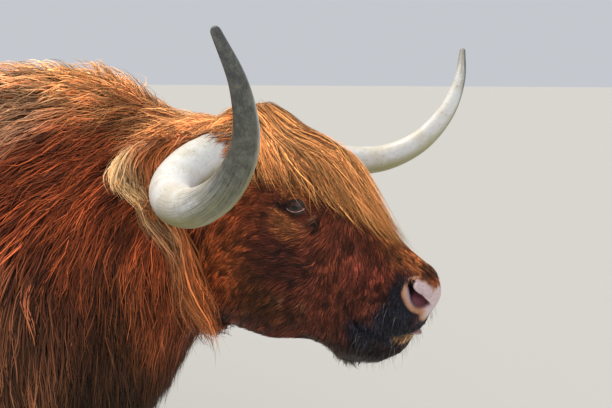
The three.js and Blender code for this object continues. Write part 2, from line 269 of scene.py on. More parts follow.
def in_head(p):
    """1 on the head, 0 on the neck, and soft across the throat and the poll."""
    n, _, t = to_head(p).T
    return ramp(0.9 * (n + 34) + 0.436 * (t - 42), -60, 30)


def face_depth(p):
    """How far the head's skin lies inside the tips of its short coat."""
    n, _, t = to_head(p).T
    depth = 0.006 - 0.002 * ramp(n, 150, 330) - 0.001 * ramp(t, -200, -260)
    muzzle = ramp(n, 390, 430) * ramp(t, -190, -120)
    return depth + (0.0015 - depth) * muzzle


def in_chest(p):
    """1 on the front of the chest and the throat above it."""
    x, _, z = from_feet(p)
    return ramp(x, 0.15, 0.27) * ramp(z, 0.86, 0.74) * ramp(z, 0.44, 0.54)


def coat_depth(p):
    """How far the skin lies inside the tips of the coat."""
    x, y, z = from_feet(p)
    depth = 0.034 + 0.046 * ramp(z, 0.66, 0.48) + 0.012 * in_chest(p)
    for leg_x, leg_y in LEGS:
        reach = np.hypot(x - leg_x, (np.abs(y) - leg_y) * 1.4)
        column = ramp(reach, 0.21, 0.13) * ramp(z, 0.68, 0.56)
        depth = depth + (0.017 - depth) * column
    bag = ramp(np.hypot(x - UDDER_X, y), 0.2, 0.12) * ramp(z, 0.56, 0.5)
    depth = depth + (0.004 - depth) * bag
    return depth + (face_depth(p) - depth) * in_head(p)


def skin_surface():
    """One closed skin under the whole coat."""
    grid = Field.blank(CAD_BOX, SKIN_PITCH, 13)
    union = np.min([grid.of(*node_arrays(n), band=4).values for n in FLESH], 0)
    points, quads = main_body(*grid.with_values(union).surface(SEAM))
    outer = grid.of(points, quads=quads.astype(np.uint32), band=11).softened(1)
    depth = coat_depth(outer.places().reshape(-1, 3)).reshape(outer.values.shape)
    return main_body(*outer.with_values((outer.values + depth).astype(np.float32)).surface(0))


def relaxed(points, pairs, times, weight=None):
    """Points moved towards the middle of their neighbours and back again, so that nothing shrinks."""
    count = np.bincount(pairs.ravel(), minlength=len(points)).astype(float)[:, None]
    weight = np.ones(len(points)) if weight is None else weight
    for _ in range(times):
        for step in (0.5, -0.53):
            total = np.zeros_like(points)
            for axis in range(3):
                for end, other in ((0, 1), (1, 0)):
                    total[:, axis] += np.bincount(pairs[:, end], points[pairs[:, other], axis], len(points))
            points = points + weight[:, None] * step * (total / np.maximum(count, 1) - points)
    return points


HEAD_GRID = 0.005
HEAD_SEAM = 1.2 * MM


def head_corners():
    """A box round the head, level with the frame."""
    places = [from_head((n, l, t)) for n in (-130, 500) for l in (-190, 190) for t in (-450, 120)]
    return np.min(places, 0), np.max(places, 0)


def head_shape():
    """The head, jaw and neck solids as one fine field."""
    grid = Field.blank(head_corners(), HEAD_GRID)
    parts = [grid.of(*node_arrays(name), band=4).values for name in ("head", "jaw", "neck")]
    points, quads = main_body(*grid.with_values(np.min(parts, 0)).surface(HEAD_SEAM))
    shape = grid.of(points, quads=quads.astype(np.uint32), band=9)
    return grid.with_values(shape.values + HEAD_SEAM).softened(1)


# Dabs that shape the face: middle, reach and push, all in the head's axes, in millimetres; both sides alike.
FACE_DABS = {
    "brow": ((152, 102, 2), (40, 30, 16), (0, 5, 5)),
    "under_eye": ((200, 104, -68), (38, 30, 12), (0, 4, 0)),
    "tear_hollow": ((238, 92, -38), (22, 24, 14), (0, -5, 0)),
    "cheek": ((205, 118, -170), (70, 40, 62), (0, 5, 0)),
    "cheek_hollow": ((322, 90, -122), (40, 36, 36), (0, -6, 0)),
    "nose_side": ((352, 66, -34), (36, 24, 20), (0, -4, 0)),
    "nostril_wing": ((430, 66, -40), (20, 18, 22), (0, 7, 4)),
    "upper_lip": ((430, 70, -104), (30, 26, 20), (2, 4, 0)),
    "nose_tip": ((470, 30, -50), (22, 40, 34), (6, 0, 2)),
    "lip_corner": ((372, 84, -142), (14, 20, 10), (-3, -6, 0)),
    "chin": ((430, 40, -214), (42, 48, 32), (3, 2, 15)),
    "jaw_under": ((330, 45, -206), (56, 46, 34), (0, 1, -11)),
    "forehead": ((140, 0, 42), (95, 62, 40), (0, 0, 11)),
    "tear_fold": ((233, 96, -50), (8, 24, 12), (0, -4, 0)),
    "tear_ridge": ((246, 94, -50), (8, 24, 14), (0, 3, 0)),
    "muzzle_fold": ((352, 84, -96), (7, 26, 30), (0, -3.5, 0)),
    "muzzle_ridge": ((366, 84, -96), (8, 26, 30), (0, 3, 0)),
    "lower_lip": ((462, 24, -165), (18, 40, 20), (7, 2, 0)),
    "jaw_edge": ((290, 50, -270), (90, 40, 40), (0, 1, -5)),
    "nostril_fold": ((450, 52, -27), (12, 16, 8), (2, 4, 1)),
    "philtrum": ((474, 0, -80), (14, 3.2, 36), (-3, 0, 0)),
}
# The line between the lips, and each nostril's slot: n and t.
MOUTH_LINE = np.array((
    (367, -145), (388, -146), (403, -141), (420, -134), (440, -126), (455, -115), (470, -106),
), float)
NOSTRIL_SLOT = np.array(((419, -29), (423, -37), (433, -46), (445, -51), (452, -54)), float)
NOSTRIL_DEPTH = np.array((-10.0, -24.0, 2.0))

EYE_MIDDLE = np.array((181.0, 84.0, -34.0))  # l outwards
EYE_FRONT = EYE_MIDDLE + (0, 20, 0)
EYE_RADIUS = 22.0
EYE_SLANT = math.radians(33)  # of the long way of the lids, from n towards t
EYE_OUT = unit(np.array((0.14, 0.97, 0.14)))
EYE_ALONG = unit(np.array((math.cos(EYE_SLANT), -0.14 * math.cos(EYE_SLANT), math.sin(EYE_SLANT))))
EYE_ALONG = unit(EYE_ALONG - EYE_OUT * (EYE_ALONG @ EYE_OUT))
EYE_UP = unit(np.cross(EYE_ALONG, EYE_OUT))
LID_HALF_LENGTH, LID_UPPER, LID_LOWER = 21.5, 11.0, 8.4
LID_THICKNESS = 2.4
BESIDE_NOSE = 60  # l beyond which the lids lie


def lid_places(h):
    """Places from the eye's middle, how far off they are, and how far outside the lids' edge, also flat."""
    local = (both_sides(h) - EYE_MIDDLE) @ np.stack([EYE_ALONG, EYE_UP, EYE_OUT]).T
    distance = np.linalg.norm(local, axis=1)
    angle = np.arccos(np.clip(local[:, 2] / distance, -1, 1))
    flat = unit(local[:, :2]) * (angle * (EYE_RADIUS + LID_THICKNESS))[:, None]
    edge = np.full(len(h), -1e9)
    for height, way in ((LID_UPPER, 1), (LID_LOWER, -1)):
        radius = (LID_HALF_LENGTH**2 + height**2) / (2 * height)
        edge = np.maximum(edge, np.hypot(flat[:, 0], flat[:, 1] + way * (radius - height)) - radius)
    return local, distance, edge, flat


def with_lids(h):
    """Skin by the eyes drawn over the eyeballs as two lids with thick edges and a fold."""
    local, distance, edge, flat = lid_places(h)
    upper = ramp(flat[:, 1], -3, 3)
    radius = EYE_RADIUS + LID_THICKNESS + 0.9 * np.exp(-(((edge - 1.3) / 1.5) ** 2))
    radius = radius - (1.6 * upper + 0.9) * np.exp(-(((edge - 7.5) / 2.0) ** 2))
    radius = radius + 1.6 * upper * np.exp(-(((edge - 12) / 3.5) ** 2))
    radius = np.where(edge < 0, radius + np.maximum(edge * 4.5, -9), radius)
    lids = local / distance[:, None] * radius[:, None]
    share = ramp(edge, 24, 8) * (local[:, 2] > 0) * (distance < 70)
    placed = local + (lids - local) * share[:, None]
    short = (EYE_RADIUS + 1.4) / np.maximum(np.linalg.norm(placed, axis=1), 1e-9)
    over_ball = (edge > 1.5) & (local[:, 2] > -4) & (distance < 40) & (short > 1)
    placed = np.where(over_ball[:, None], placed * short[:, None], placed)
    share = np.maximum(share, over_ball)
    moved = placed @ np.stack([EYE_ALONG, EYE_UP, EYE_OUT]) + EYE_MIDDLE
    moved[:, 1] *= np.where(h[:, 1] < 0, -1, 1)
    return np.where(share[:, None] > 0, moved, h)


def off_line(places, line):
    """Distance of flat places from a line through a few points."""
    best = np.full(len(places), 1e9)
    for a, b in zip(line[:-1], line[1:]):
        u = np.clip(((places - a) @ (b - a)) / ((b - a) @ (b - a)), 0, 1)
        best = np.minimum(best, np.linalg.norm(places - a - u[:, None] * (b - a), axis=1))
    return best


def nostril_and_mouth(h):
    """1 in the nostrils and 1 between the lips, with the distance off the slots and the mouth's height."""
    slot = off_line(h[:, [0, 2]], NOSTRIL_SLOT)
    width = 4.2 + 4.2 * ramp(h[:, 0], 426, 446)
    mouth_t = np.interp(h[:, 0], MOUTH_LINE[:, 0], MOUTH_LINE[:, 1])
    slit = np.exp(-(((h[:, 2] - mouth_t) / 3.0) ** 2)) * ramp(h[:, 0], 364, 380)
    return np.exp(-((slot / width) ** 4)) * ramp(np.abs(h[:, 1]), 20, 32), slit, slot, mouth_t


def sculpted(p, normal):
    """The skin with the face's forms pushed in and out, with marks for the painted shade in its hollows and
    for the pink at the front of the nostrils.
    """
    h = to_head(p)
    mirrored = both_sides(h)
    push = np.zeros_like(h)
    for middle, reach, amount in FACE_DABS.values():
        weight = np.exp(-(((mirrored - middle) / reach) ** 2).sum(1))
        push += weight[:, None] * np.array(amount)
    nostril, slit, slot, mouth_t = nostril_and_mouth(h)
    push += nostril[:, None] * NOSTRIL_DEPTH
    rim = np.exp(-(((slot - 9.0) / 2.8) ** 2)) * ramp(mirrored[:, 1], 20, 32)
    push += rim[:, None] * np.array((1, 2.4, 0.6))
    push[:, 1] *= np.sign(h[:, 1])
    n, _, t = h.T
    lips = np.exp(-(((t - mouth_t) / 14) ** 2)) * ramp(n, 372, 400)
    wrinkle = np.sin((n + 0.35 * t) / 12 * math.pi) * ramp(n, 362, 384) * ramp(n, 416, 400)
    wrinkle *= ramp(t, -104, -84) * ramp(t, -30, -48)
    push += normal @ HEAD.T * (2.6 * lips - 11 * slit + 0.9 * wrinkle)[:, None]
    local, _, edge, _ = lid_places(h)
    along, up, _ = local.T
    beside = mirrored[:, 1] > BESIDE_NOSE
    # lash_line: the lids' edges, partly their own dark rims and partly painted shade under the lashes; rear:
    # painted shade in the eye's rear corner.
    lash_line = np.exp(-(((edge - 0.8) / 2.6) ** 2)) * beside
    tall = np.interp(along, (-40, -20, -15), (0, 5.5, 5))
    rear = ramp(np.abs(up + 1), tall + 1.5, tall - 1) * ramp(along, -42, -36) * ramp(along, -14, -17) * beside
    # Painted shade, darkest in the nostrils, between the lips, along the lids' edges and in the eyes' rear
    # corners.
    painted_recess_shade = np.maximum(np.maximum(nostril, 0.9 * slit), np.maximum(lash_line, 0.9 * rear))
    # flush: the front of each nostril, where the painted shade turns to the pink lining.
    flush = nostril * ramp(n, 426, 446)
    return from_head(with_lids(h + push)), painted_recess_shade, flush


def divide(piece, share, least=0.5):
    """Cuts every edge where both ends have more than the least share, and fills the faces with a grid."""
    edit = bmesh.new()
    edit.from_mesh(piece.data)
    edit.verts.ensure_lookup_table()
    inside = share(np.array([v.co for v in edit.verts])) > least
    edges = [e for e in edit.edges if inside[e.verts[0].index] and inside[e.verts[1].index]]
    bmesh.ops.subdivide_edges(edit, edges=edges, cuts=1, use_grid_fill=True)
    bmesh.ops.triangulate(edit, faces=[f for f in edit.faces if len(f.verts) > 4])
    edit.to_mesh(piece.data)
    edit.free()


def mesh_points(piece):
    """A mesh's points, and the two ends of each of its edges."""
    mesh = piece.data
    return numbers_of(mesh.vertices, "co"), numbers_of(mesh.edges, "vertices", np.int32, 2)


def set_points(piece, points):
    piece.data.vertices.foreach_set("co", points.ravel())
    piece.data.update()


def settled(points, shape):
    """Points of the head drawn onto its own shape, inside the coat's tips."""
    inside = in_head(points) > 0
    some = points[inside]
    for _ in range(4):
        off = shape.at(some) + face_depth(some)
        some = some - shape.slope(some) * (off * ramp(in_head(some), 0.2, 1.0))[:, None]
    points = points.copy()
    points[inside] = some
    return points


def from_eye(p):
    """Millimetres from the front of the nearer eye."""
    return np.linalg.norm(both_sides(to_head(p)) - EYE_FRONT, axis=1)


def near_eye_or_nose(p):
    n, _, t = to_head(p).T
    mouth = (n > 360) & (t < -100) & (t > -168)
    return (from_eye(p) < 40) | mouth | ((n > 408) & (t > -125))


def near_eye(p):
    return from_eye(p) < 33


def near_lids(p):
    h = to_head(p)
    _, distance, edge, _ = lid_places(h)
    return (np.abs(h[:, 1]) > BESIDE_NOSE) & (distance < 40) & (edge > -6) & (edge < 7)


def refined_skin():
    """The skin, cut finer towards the face and the eyes and then sculpted there."""
    piece = mesh_object("skin", *skin_surface())
    points, pairs = mesh_points(piece)
    set_points(piece, relaxed(points, pairs, 5))
    for least in (0.0, 0.35):
        divide(piece, in_head, least)
    shape = head_shape()
    points, pairs = mesh_points(piece)
    points = settled(relaxed(points, pairs, 3), shape)
    points = settled(relaxed(points, pairs, 3, in_head(points)), shape)
    set_points(piece, relaxed(points, pairs, 2, in_head(points)))
    for share in (near_eye_or_nose, near_eye, near_lids):
        divide(piece, share)
    points, pairs = mesh_points(piece)
    set_points(piece, relaxed(points, pairs, 2, near_eye_or_nose(points).astype(float)))
    points, _ = mesh_points(piece)
    points, painted_recess_shade, flush = sculpted(points, numbers_of(piece.data.vertices, "normal"))
    set_points(piece, points)
    # The painted shade in the face's recesses, for the skin's material to darken.
    add_attribute(piece.data, "painted_recess_shade", painted_recess_shade)
    add_attribute(piece.data, "flush", flush)
    smooth_faces(piece.data)
    return piece


# ---------- ears, tail and teats ----------
EAR_ROOT = np.array((-10.0, 104.0, -52.0))  # in the head's axes
EAR_LENGTH = 0.186
# Share of the length, rise and drop of the leaf's edges, its bow forwards and its thickness, in millimetres.
EAR_LEAF = np.array((
    (0.00, 20, 20, 0, 34), (0.15, 27, 28, 4, 24), (0.32, 37, 38, 12, 12),
    (0.55, 43, 42, 15, 8), (0.75, 40, 36, 12, 7), (0.90, 29, 22, 7, 6), (1.00, 8, 5, 1, 4),
), float)
EAR_RINGS, EAR_SIDES = 26, 28
TAIL_LINE = np.array((
    (-1.110, 1.176), (-1.168, 1.192), (-1.222, 1.162), (-1.248, 1.070),
    (-1.252, 0.920), (-1.246, 0.770), (-1.238, 0.640), (-1.236, 0.560),
))  # x and z from FEET
TAIL_RINGS, TAIL_ROOT, TAIL_TIP = 40, 0.026, 0.010  # how many, and the bare tail's radii
TEAT_X, TEAT_Y, TEAT_TOP, TEAT_LENGTH = (-0.915, -0.830), (-0.045, 0.045), 0.455, 0.045


def turn(sides):
    """Angles once round."""
    return np.linspace(0, 2 * math.pi, sides, endpoint=False)


def ear_axes(side):
    """The root of an ear, the way along it and the way its open face looks."""
    root = from_head(EAR_ROOT * (1, side, 1))
    along = unit(AXIS_L * side - HEADWARD * 0.5 + DOWN * 0.1)
    face = unit(np.cross((0, 0, 1), along)) * -side
    return root, along, face


def ring_surface(rings, start=None, end=None):
    """A closed skin over rings of points, with the ends drawn to a point each."""
    rings = np.asarray(rings)
    count, sides, _ = rings.shape
    ends = np.array([rings[0].mean(0) if start is None else start, rings[-1].mean(0) if end is None else end])
    points = np.concatenate([rings.reshape(-1, 3), ends])
    faces = []
    for i in range(count - 1):
        for k in range(sides):
            j = (k + 1) % sides
            faces.append((i * sides + k, i * sides + j, (i + 1) * sides + j, (i + 1) * sides + k))
    for k in range(sides):
        j = (k + 1) % sides
        faces.append((count * sides, j, k))
        faces.append((count * sides + 1, (count - 1) * sides + k, (count - 1) * sides + j))
    return points, faces


def outward(points, faces):
    """The same skin with its faces turned outwards."""
    volume = 0
    for f in faces:
        for a, b in zip(f[1:-1], f[2:]):
            volume += np.dot(points[f[0]], np.cross(points[a], points[b]))
    return points, (faces if volume > 0 else [f[::-1] for f in faces])


def ear_leaf(side):
    """One ear's bare leaf, cupped and round at its tip."""
    root, along, face = ear_axes(side)
    rings = []
    for share in np.linspace(0, 1, EAR_RINGS):
        rise, drop, bow, thick = (np.interp(share, EAR_LEAF[:, 0], EAR_LEAF[:, i]) * MM for i in range(1, 5))
        round_end = math.sqrt(max(0.0, 1 - max(0.0, (share - 0.9) / 0.1) ** 2)) * 0.999 + 0.001
        rise, drop = rise * max(round_end, 0.15), drop * max(round_end, 0.15)
        centre = root + along * EAR_LENGTH * share
        ring = []
        for angle in turn(EAR_SIDES):
            w, side_way = math.cos(angle), math.sin(angle)
            height = (rise + drop) / 2 * w + (rise - drop) / 2
            bowed = bow * (w * w * 1.4 - 0.7)
            ring.append(centre + np.array((0, 0, height)) + face * (bowed + side_way * thick / 2))
        rings.append(ring)
    return outward(*ring_surface(rings, end=root + along * (EAR_LENGTH + 0.004)))


def tail_core():
    """The bare tail inside its hair."""
    knots = range(len(TAIL_LINE))
    spots = np.linspace(0, len(TAIL_LINE) - 1, TAIL_RINGS)
    line = np.array([np.interp(spots, knots, TAIL_LINE[:, i]) for i in (0, 1)]).T
    for _ in range(6):
        line[1:-1] = (line[:-2] + 2 * line[1:-1] + line[2:]) / 4
    places = np.column_stack([line[:, 0], np.zeros(TAIL_RINGS), line[:, 1]]) + FEET
    across = np.array((0, 1.0, 0))
    radii = TAIL_ROOT + (TAIL_TIP - TAIL_ROOT) * np.linspace(0, 1, TAIL_RINGS)
    rings = []
    for radius, place, way in zip(radii, places, unit(np.gradient(places, axis=0))):
        up = np.cross(way, across)
        rings.append([place + radius * (math.cos(a) * across + math.sin(a) * up) for a in turn(12)])
    return outward(*ring_surface(rings))


def teats():
    """Four short teats, round at their ends."""
    for x in TEAT_X:
        for y in TEAT_Y:
            rings = []
            for u in np.linspace(0, 1, 9):
                round_end = 1 if u < 0.8 else math.sqrt(max(0.02, 1 - ((u - 0.8) / 0.2) ** 2))
                radius = (0.013 - 0.003 * u) * round_end
                centre = FEET + (x, y, TEAT_TOP - TEAT_LENGTH * u)
                rings.append([centre + (radius * math.cos(a), radius * math.sin(a), 0) for a in turn(12)])
            yield outward(*ring_surface(rings))


def join(piece, parts):
    """Adds closed parts to a piece's mesh."""
    edit = bmesh.new()
    edit.from_mesh(piece.data)
    for points, faces in parts:
        verts = [edit.verts.new(p) for p in points]
        for f in faces:
            edit.faces.new([verts[i] for i in f]).smooth = True
    edit.to_mesh(piece.data)
    edit.free()


# ---------- lie of the coat ----------
NECK_MIDDLE = ((0.0, 0.15, 0.3, 0.45), (0.0, -0.01, -0.04, -0.075))  # x from FEET, and y of the neck's middle

# Where the hair points on the body: a place (x, y outwards and z from FEET) and then a direction there.
BODY_LIE = np.array((
    (0.42, 0.05, 1.2, -0.9, 0.25, 0.2), (0.3, 0.08, 1.2, -1, 0.2, 0.1),
    (0.15, 0.1, 1.23, -1, 0.3, 0.05), (0, 0.1, 1.25, -0.95, 0.4, -0.1),
    (0.36, 0.17, 1.12, -0.9, 0, -0.2), (0.2, 0.2, 1.08, -0.85, 0, -0.4),
    (0.05, 0.26, 1.06, -0.8, 0, -0.5), (-0.05, 0.27, 1.16, -0.75, 0.2, -0.55),
    (0.35, 0.18, 1, -0.45, 0, -0.85), (0.22, 0.22, 0.95, -0.45, 0, -0.85),
    (0.08, 0.27, 0.92, -0.5, 0, -0.85), (0.38, 0.17, 0.88, 0.05, 0, -1),
    (0.25, 0.2, 0.82, -0.05, 0, -1), (0.1, 0.25, 0.75, -0.15, 0, -1),
    (0.43, 0.14, 0.82, 0.12, 0, -1), (0.42, 0.08, 0.68, -0.25, 0, -1),
    (0.3, 0.1, 0.6, -0.1, 0, -1), (0.2, 0.15, 0.5, -0.05, 0, -1),
    (-0.15, 0.15, 1.23, -0.8, 0.5, -0.3), (-0.15, 0.3, 1.08, -0.75, 0.1, -0.6),
    (-0.15, 0.33, 0.9, -0.5, 0, -0.85), (-0.15, 0.33, 0.7, -0.2, 0, -1),
    (-0.5, 0.12, 1.2, -0.8, 0.5, -0.3), (-0.5, 0.33, 1, -0.55, 0.1, -0.85),
    (-0.5, 0.36, 0.8, -0.35, 0, -0.95), (-0.5, 0.3, 0.58, -0.15, 0, -1),
    (-0.9, 0.12, 1.2, -0.7, 0.5, -0.4), (-0.9, 0.3, 1, -0.4, 0.1, -0.9),
    (-0.9, 0.3, 0.75, -0.2, 0, -1), (-1.15, 0.1, 1.05, -0.3, 0.15, -1),
    (-1.18, 0.15, 0.8, -0.1, 0, -1), (0.05, 0.16, 0.35, -0.1, 0.05, -1),
    (0.05, 0.16, 0.1, -0.05, 0.08, -1), (-1.05, 0.17, 0.35, -0.1, 0.05, -1),
    (-1.05, 0.17, 0.1, -0.05, 0.08, -1),
), float)

# The same for the face, in the head's axes: millimetres, l outwards, and directions.
FACE_LIE = np.array((
    (60, 20, 40, 1, 0.3, 0), (150, 20, 34, 1, 0.2, 0),
    (250, 20, 15, 1, 0.25, 0), (360, 20, 0, 1, 0.3, 0),
    (60, 90, -10, -0.3, 0.5, -0.6), (130, 100, -4, -0.6, 0.3, -0.2),
    (190, 96, -6, -0.8, 0.3, -0.3), (240, 86, -20, 0.3, 0.4, -0.5),
    (90, 118, -60, -0.5, 0, -0.85), (150, 112, -68, -0.85, 0, -0.4),
    (215, 104, -75, -0.75, 0, -0.5), (250, 96, -60, -0.2, 0, -0.9),
    (290, 86, -50, 0.5, 0, -0.85), (330, 76, -40, 0.75, 0, -0.6),
    (380, 70, -40, 0.75, 0, -0.55), (310, 88, -100, 0.35, 0, -0.95),
    (360, 84, -100, 0.5, 0, -0.9), (410, 78, -100, 0.5, 0, -0.9),
    (240, 104, -120, -0.85, 0, -0.35), (190, 116, -130, -0.8, 0, -0.5),
    (120, 124, -140, -0.2, 0, -1), (60, 124, -180, 0.1, 0, -1),
    (260, 104, -170, -0.4, 0, -0.9), (180, 112, -220, -0.2, 0, -1),
    (310, 90, -180, 0.2, 0, -1), (360, 84, -170, 0.25, 0, -1),
    (300, 50, -250, -0.3, 0, -0.9), (200, 50, -320, -0.3, 0, -0.9),
    (420, 60, -190, 0, 0, -1), (440, 30, -215, -0.2, 0, -1),
), float)


def ripple(p, size, seed):
    """A smooth wandering number about 0, of about this size in space, the same for the same seed."""
    draw = np.random.default_rng(seed)
    total = 0
    for _ in range(5):
        wave = unit(draw.normal(size=3)) * 2 * math.pi / size
        total = total + np.sin(p @ wave + draw.uniform(0, 2 * math.pi))
    return total / 2.2


def blended(p, guides, softness):
    """The guides' directions, mixed by nearness."""
    places, ways = guides[:, :3], unit(guides[:, 3:])
    out = np.zeros_like(p)
    for start in range(0, len(p), 8192):
        part = p[start : start + 8192]
        far = ((part[:, None] - places) ** 2).sum(-1)
        weight = 1 / (far + softness**2) ** 2
        out[start : start + 8192] = weight @ ways
    return unit(out)


def off_middle(p):
    """How far to the left of the body's middle, along the bend of the neck too."""
    x, y, _ = from_feet(p)
    return y - np.interp(x, *NECK_MIDDLE)


def body_lie(p):
    """Where the hair points on the trunk, the neck and the legs."""
    x, _, z = from_feet(p)
    y = off_middle(p)
    way = blended(np.column_stack([x, np.abs(y), z]), BODY_LIE, 0.06)
    way[:, 1] *= np.tanh(y / 0.04)
    sway = 0.16 * ripple(p, 0.5, 3) + 0.18 * ripple(p, 0.13, 4)
    way[:, 2] += sway * 0.8
    way[:, 0] += sway * 0.4
    return unit(way)


def face_lie(p):
    """Where the short hair points on the face."""
    h = to_head(p)
    way = blended(both_sides(h), FACE_LIE, 18)
    way[:, 1] *= np.tanh(h[:, 1] / 20)
    way[:, 2] += 0.14 * ripple(p, 0.07, 5)
    way[:, 0] += 0.12 * ripple(p, 0.09, 6)
    return unit(way @ HEAD)


def coat_lie(p):
    """Where the hair points anywhere on the skin."""
    share = in_head(p)[:, None]
    return unit(body_lie(p) * (1 - share) + face_lie(p) * share)


# ---------- tufts ----------
class Skin:
    """The finished skin as triangles to grow from, with its distance fields."""

    def __init__(self, piece):
        mesh = piece.data
        self.points = numbers_of(mesh.vertices, "co")
        self.normals = numbers_of(mesh.vertices, "normal")
        self.triangles = triangles_of(mesh)
        a, b, c = (self.points[self.triangles[:, i]] for i in range(3))
        self.areas = np.linalg.norm(np.cross(b - a, c - a), axis=1) / 2
        self.middles = (a + b + c) / 3
        self.body_field = self.field(CAD_BOX, 0.0125, 13)
        self.head_field = self.field(head_corners(), 0.006, 2)

    def field(self, box, pitch, margin):
        grid = Field.blank(box, pitch, margin)
        return grid.of(self.points, triangles=self.triangles.astype(np.uint32), band=12)

    def scatter(self, count, share):
        """Roots spread evenly over the skin, as dense as share says there."""
        weight = np.cumsum(self.areas * share(self.middles))
        spots = (np.arange(count) + RNG.random(count)) / count * weight[-1]
        chosen = np.minimum(np.searchsorted(weight, spots), len(weight) - 1)
        u, v = RNG.random((2, count))
        flip = u + v > 1
        u, v = np.where(flip, 1 - u, u), np.where(flip, 1 - v, v)
        mix = np.stack([1 - u - v, u, v], -1)[..., None]
        corner = self.triangles[chosen]
        return (self.points[corner] * mix).sum(1), unit((self.normals[corner] * mix).sum(1))


ROOT_DEPTH = 0.003


def grown(roots, normals, field, lie, length, lay, hang, rings, stray=0.0, settle=0.0):
    """The middle lines of hairs that lie along the skin, lay above it, and hang by their own weight."""
    p = roots - normals * ROOT_DEPTH
    wander = RNG.normal(0, 1, roots.shape) * np.reshape(stray, (-1, 1))
    lines = [p]
    sides = []
    n = normals
    shares = np.linspace(0, 1, rings) ** (1.3 if rings > 7 else 1.0)
    for i in range(1, rings):
        u = shares[i]
        step = (length * (shares[i] - shares[i - 1]))[:, None]
        way = lie(p)
        g = np.clip(hang(p) * u**0.6, 0, 1)[:, None]
        way = unit(way * (1 - g) + DOWN * g + wander)
        height = field.at(p)
        want = lay * min(1.0, 0.35 + 1.1 * u) * (1 - settle * u**3)
        off = (way * n).sum(1)
        climb = (want - height) / step[:, 0]
        climb = np.where(climb > 0, np.minimum(climb, 0.9), np.maximum(climb, -0.5) * (1 - g[:, 0]))
        keep = np.where(off > 0, off * g[:, 0], 0)
        way = unit(way - n * off[:, None])
        way = unit(way + n * (climb + keep)[:, None])
        sides.append(unit(np.cross(way, n)))
        p = p + way * step
        over = field.at(p) - 1.15 * want - 0.006
        p = p - n * (np.maximum(over, 0) * 0.8 * (1 - g[:, 0]))[:, None]
        lines.append(p)
        n = unit(field.slope(p) * 0.7 + n * 0.3)
    sides.append(sides[-1])
    return np.stack(lines, 1), np.stack(sides, 1)


def fallen(roots, normals, field, lie, length, lay, hang, rings, stray=0.0):
    """The middle lines of long locks that fall free and rest lightly on what is below; called like grown."""
    p = roots
    wander = RNG.normal(0, 0.6, roots.shape) * np.reshape(stray, (-1, 1))
    lines, sides = [p], []
    for i in range(1, rings):
        way = unit(lie(p) + wander)
        n = unit(field.slope(p) + normals * 0.2)
        sides.append(unit(np.cross(way, n)))
        p = p + way * (length / (rings - 1))[:, None]
        if i > 2:
            p = p + field.slope(p) * np.clip(lay - field.at(p), 0, 0.02)[:, None]
        lines.append(p)
    sides.append(sides[-1])
    return np.stack(lines, 1), np.stack(sides, 1)


def clumped(lines, roots, guide_lines, guide_roots, pull):
    """Hairs drawn towards the nearest guide, more so towards their tips."""
    nearest = np.empty(len(roots), int)
    for start in range(0, len(roots), 4096):
        far = ((roots[start : start + 4096, None] - guide_roots) ** 2).sum(-1)
        nearest[start : start + 4096] = far.argmin(1)
    rings = lines.shape[1]
    u = np.linspace(0, 1, rings)[None, :, None]
    return lines + (guide_lines[nearest] - lines) * pull[:, None, None] * u**1.3, nearest


def waved(lines, sides, amount, size, seed):
    """Hairs with slow waves, alike in neighbours."""
    rings = lines.shape[1]
    u = np.linspace(0, 1, rings)[None, :]
    run = np.linalg.norm(np.diff(lines, axis=1), axis=2).sum(1)[:, None] * u
    start = ripple(lines[:, 0], 0.12, seed)[:, None] * 2.5 + RNG.normal(0, 0.7, (len(lines), 1))
    sway = np.sin(run / size[:, None] * 2 * math.pi + start) * u**0.7 * amount[:, None]
    return lines + sides * sway[..., None]


def trimmed(lines, room, ragged):
    """Hairs cut where they run out of room, and drawn evenly again to their new tips."""
    rings = lines.shape[1]
    left = room(lines.reshape(-1, 3)).reshape(len(lines), rings)
    column = (len(lines), 1)
    left += RNG.normal(0, ragged, column) + np.where(RNG.random(column) < 0.1, 2.2 * ragged, 0)
    left[:, :2] = np.maximum(left[:, :2], 1e-6)
    gone = left < 0
    first = np.where(gone.any(1), gone.argmax(1), rings - 1)
    row = np.arange(len(lines))
    before, after = left[row, first - 1], left[row, first]
    cut = np.where(gone.any(1), first - 1 + before / np.maximum(before - after, 1e-9), rings - 1)
    spot = np.linspace(0, 1, rings)[None] * cut[:, None]
    low = np.minimum(spot.astype(int), rings - 2)
    part = (spot - low)[..., None]
    return lines[row[:, None], low] * (1 - part) + lines[row[:, None], low + 1] * part


# The unwraps give each root two numbers, which are then fitted into the whole of the UV map.
TRUNK_HEIGHT, HEAD_INSIDE = 0.85, -120  # of the lines inside them that they are unwrapped round


def body_unwrap(p):
    """Along the trunk, and round a line inside it."""
    x, y, _ = from_feet(p)
    return x, np.arctan2(y, p[:, 2] - TRUNK_HEIGHT)


def head_unwrap(p):
    """Along the head, and round a line inside it."""
    n, l, t = to_head(p).T
    return n, np.arctan2(l, t - HEAD_INSIDE)


def leg_unwrap(p):
    """Round each leg in a strip of its own, and up it."""
    x, y, _ = from_feet(p)
    fore, left = x > MIDWAY, p[:, 1] > 0
    round_leg = np.arctan2(y - np.sign(p[:, 1]) * 0.165, x - np.where(fore, LEGS[0][0], LEGS[1][0]))
    return round_leg + 7 * fore + 14 * left, p[:, 2]


def across_unwrap(p):
    """From side to side, and up."""
    return p[:, 1], p[:, 2]


PATCH = 0.003  # a tuft's patch on the unwrap


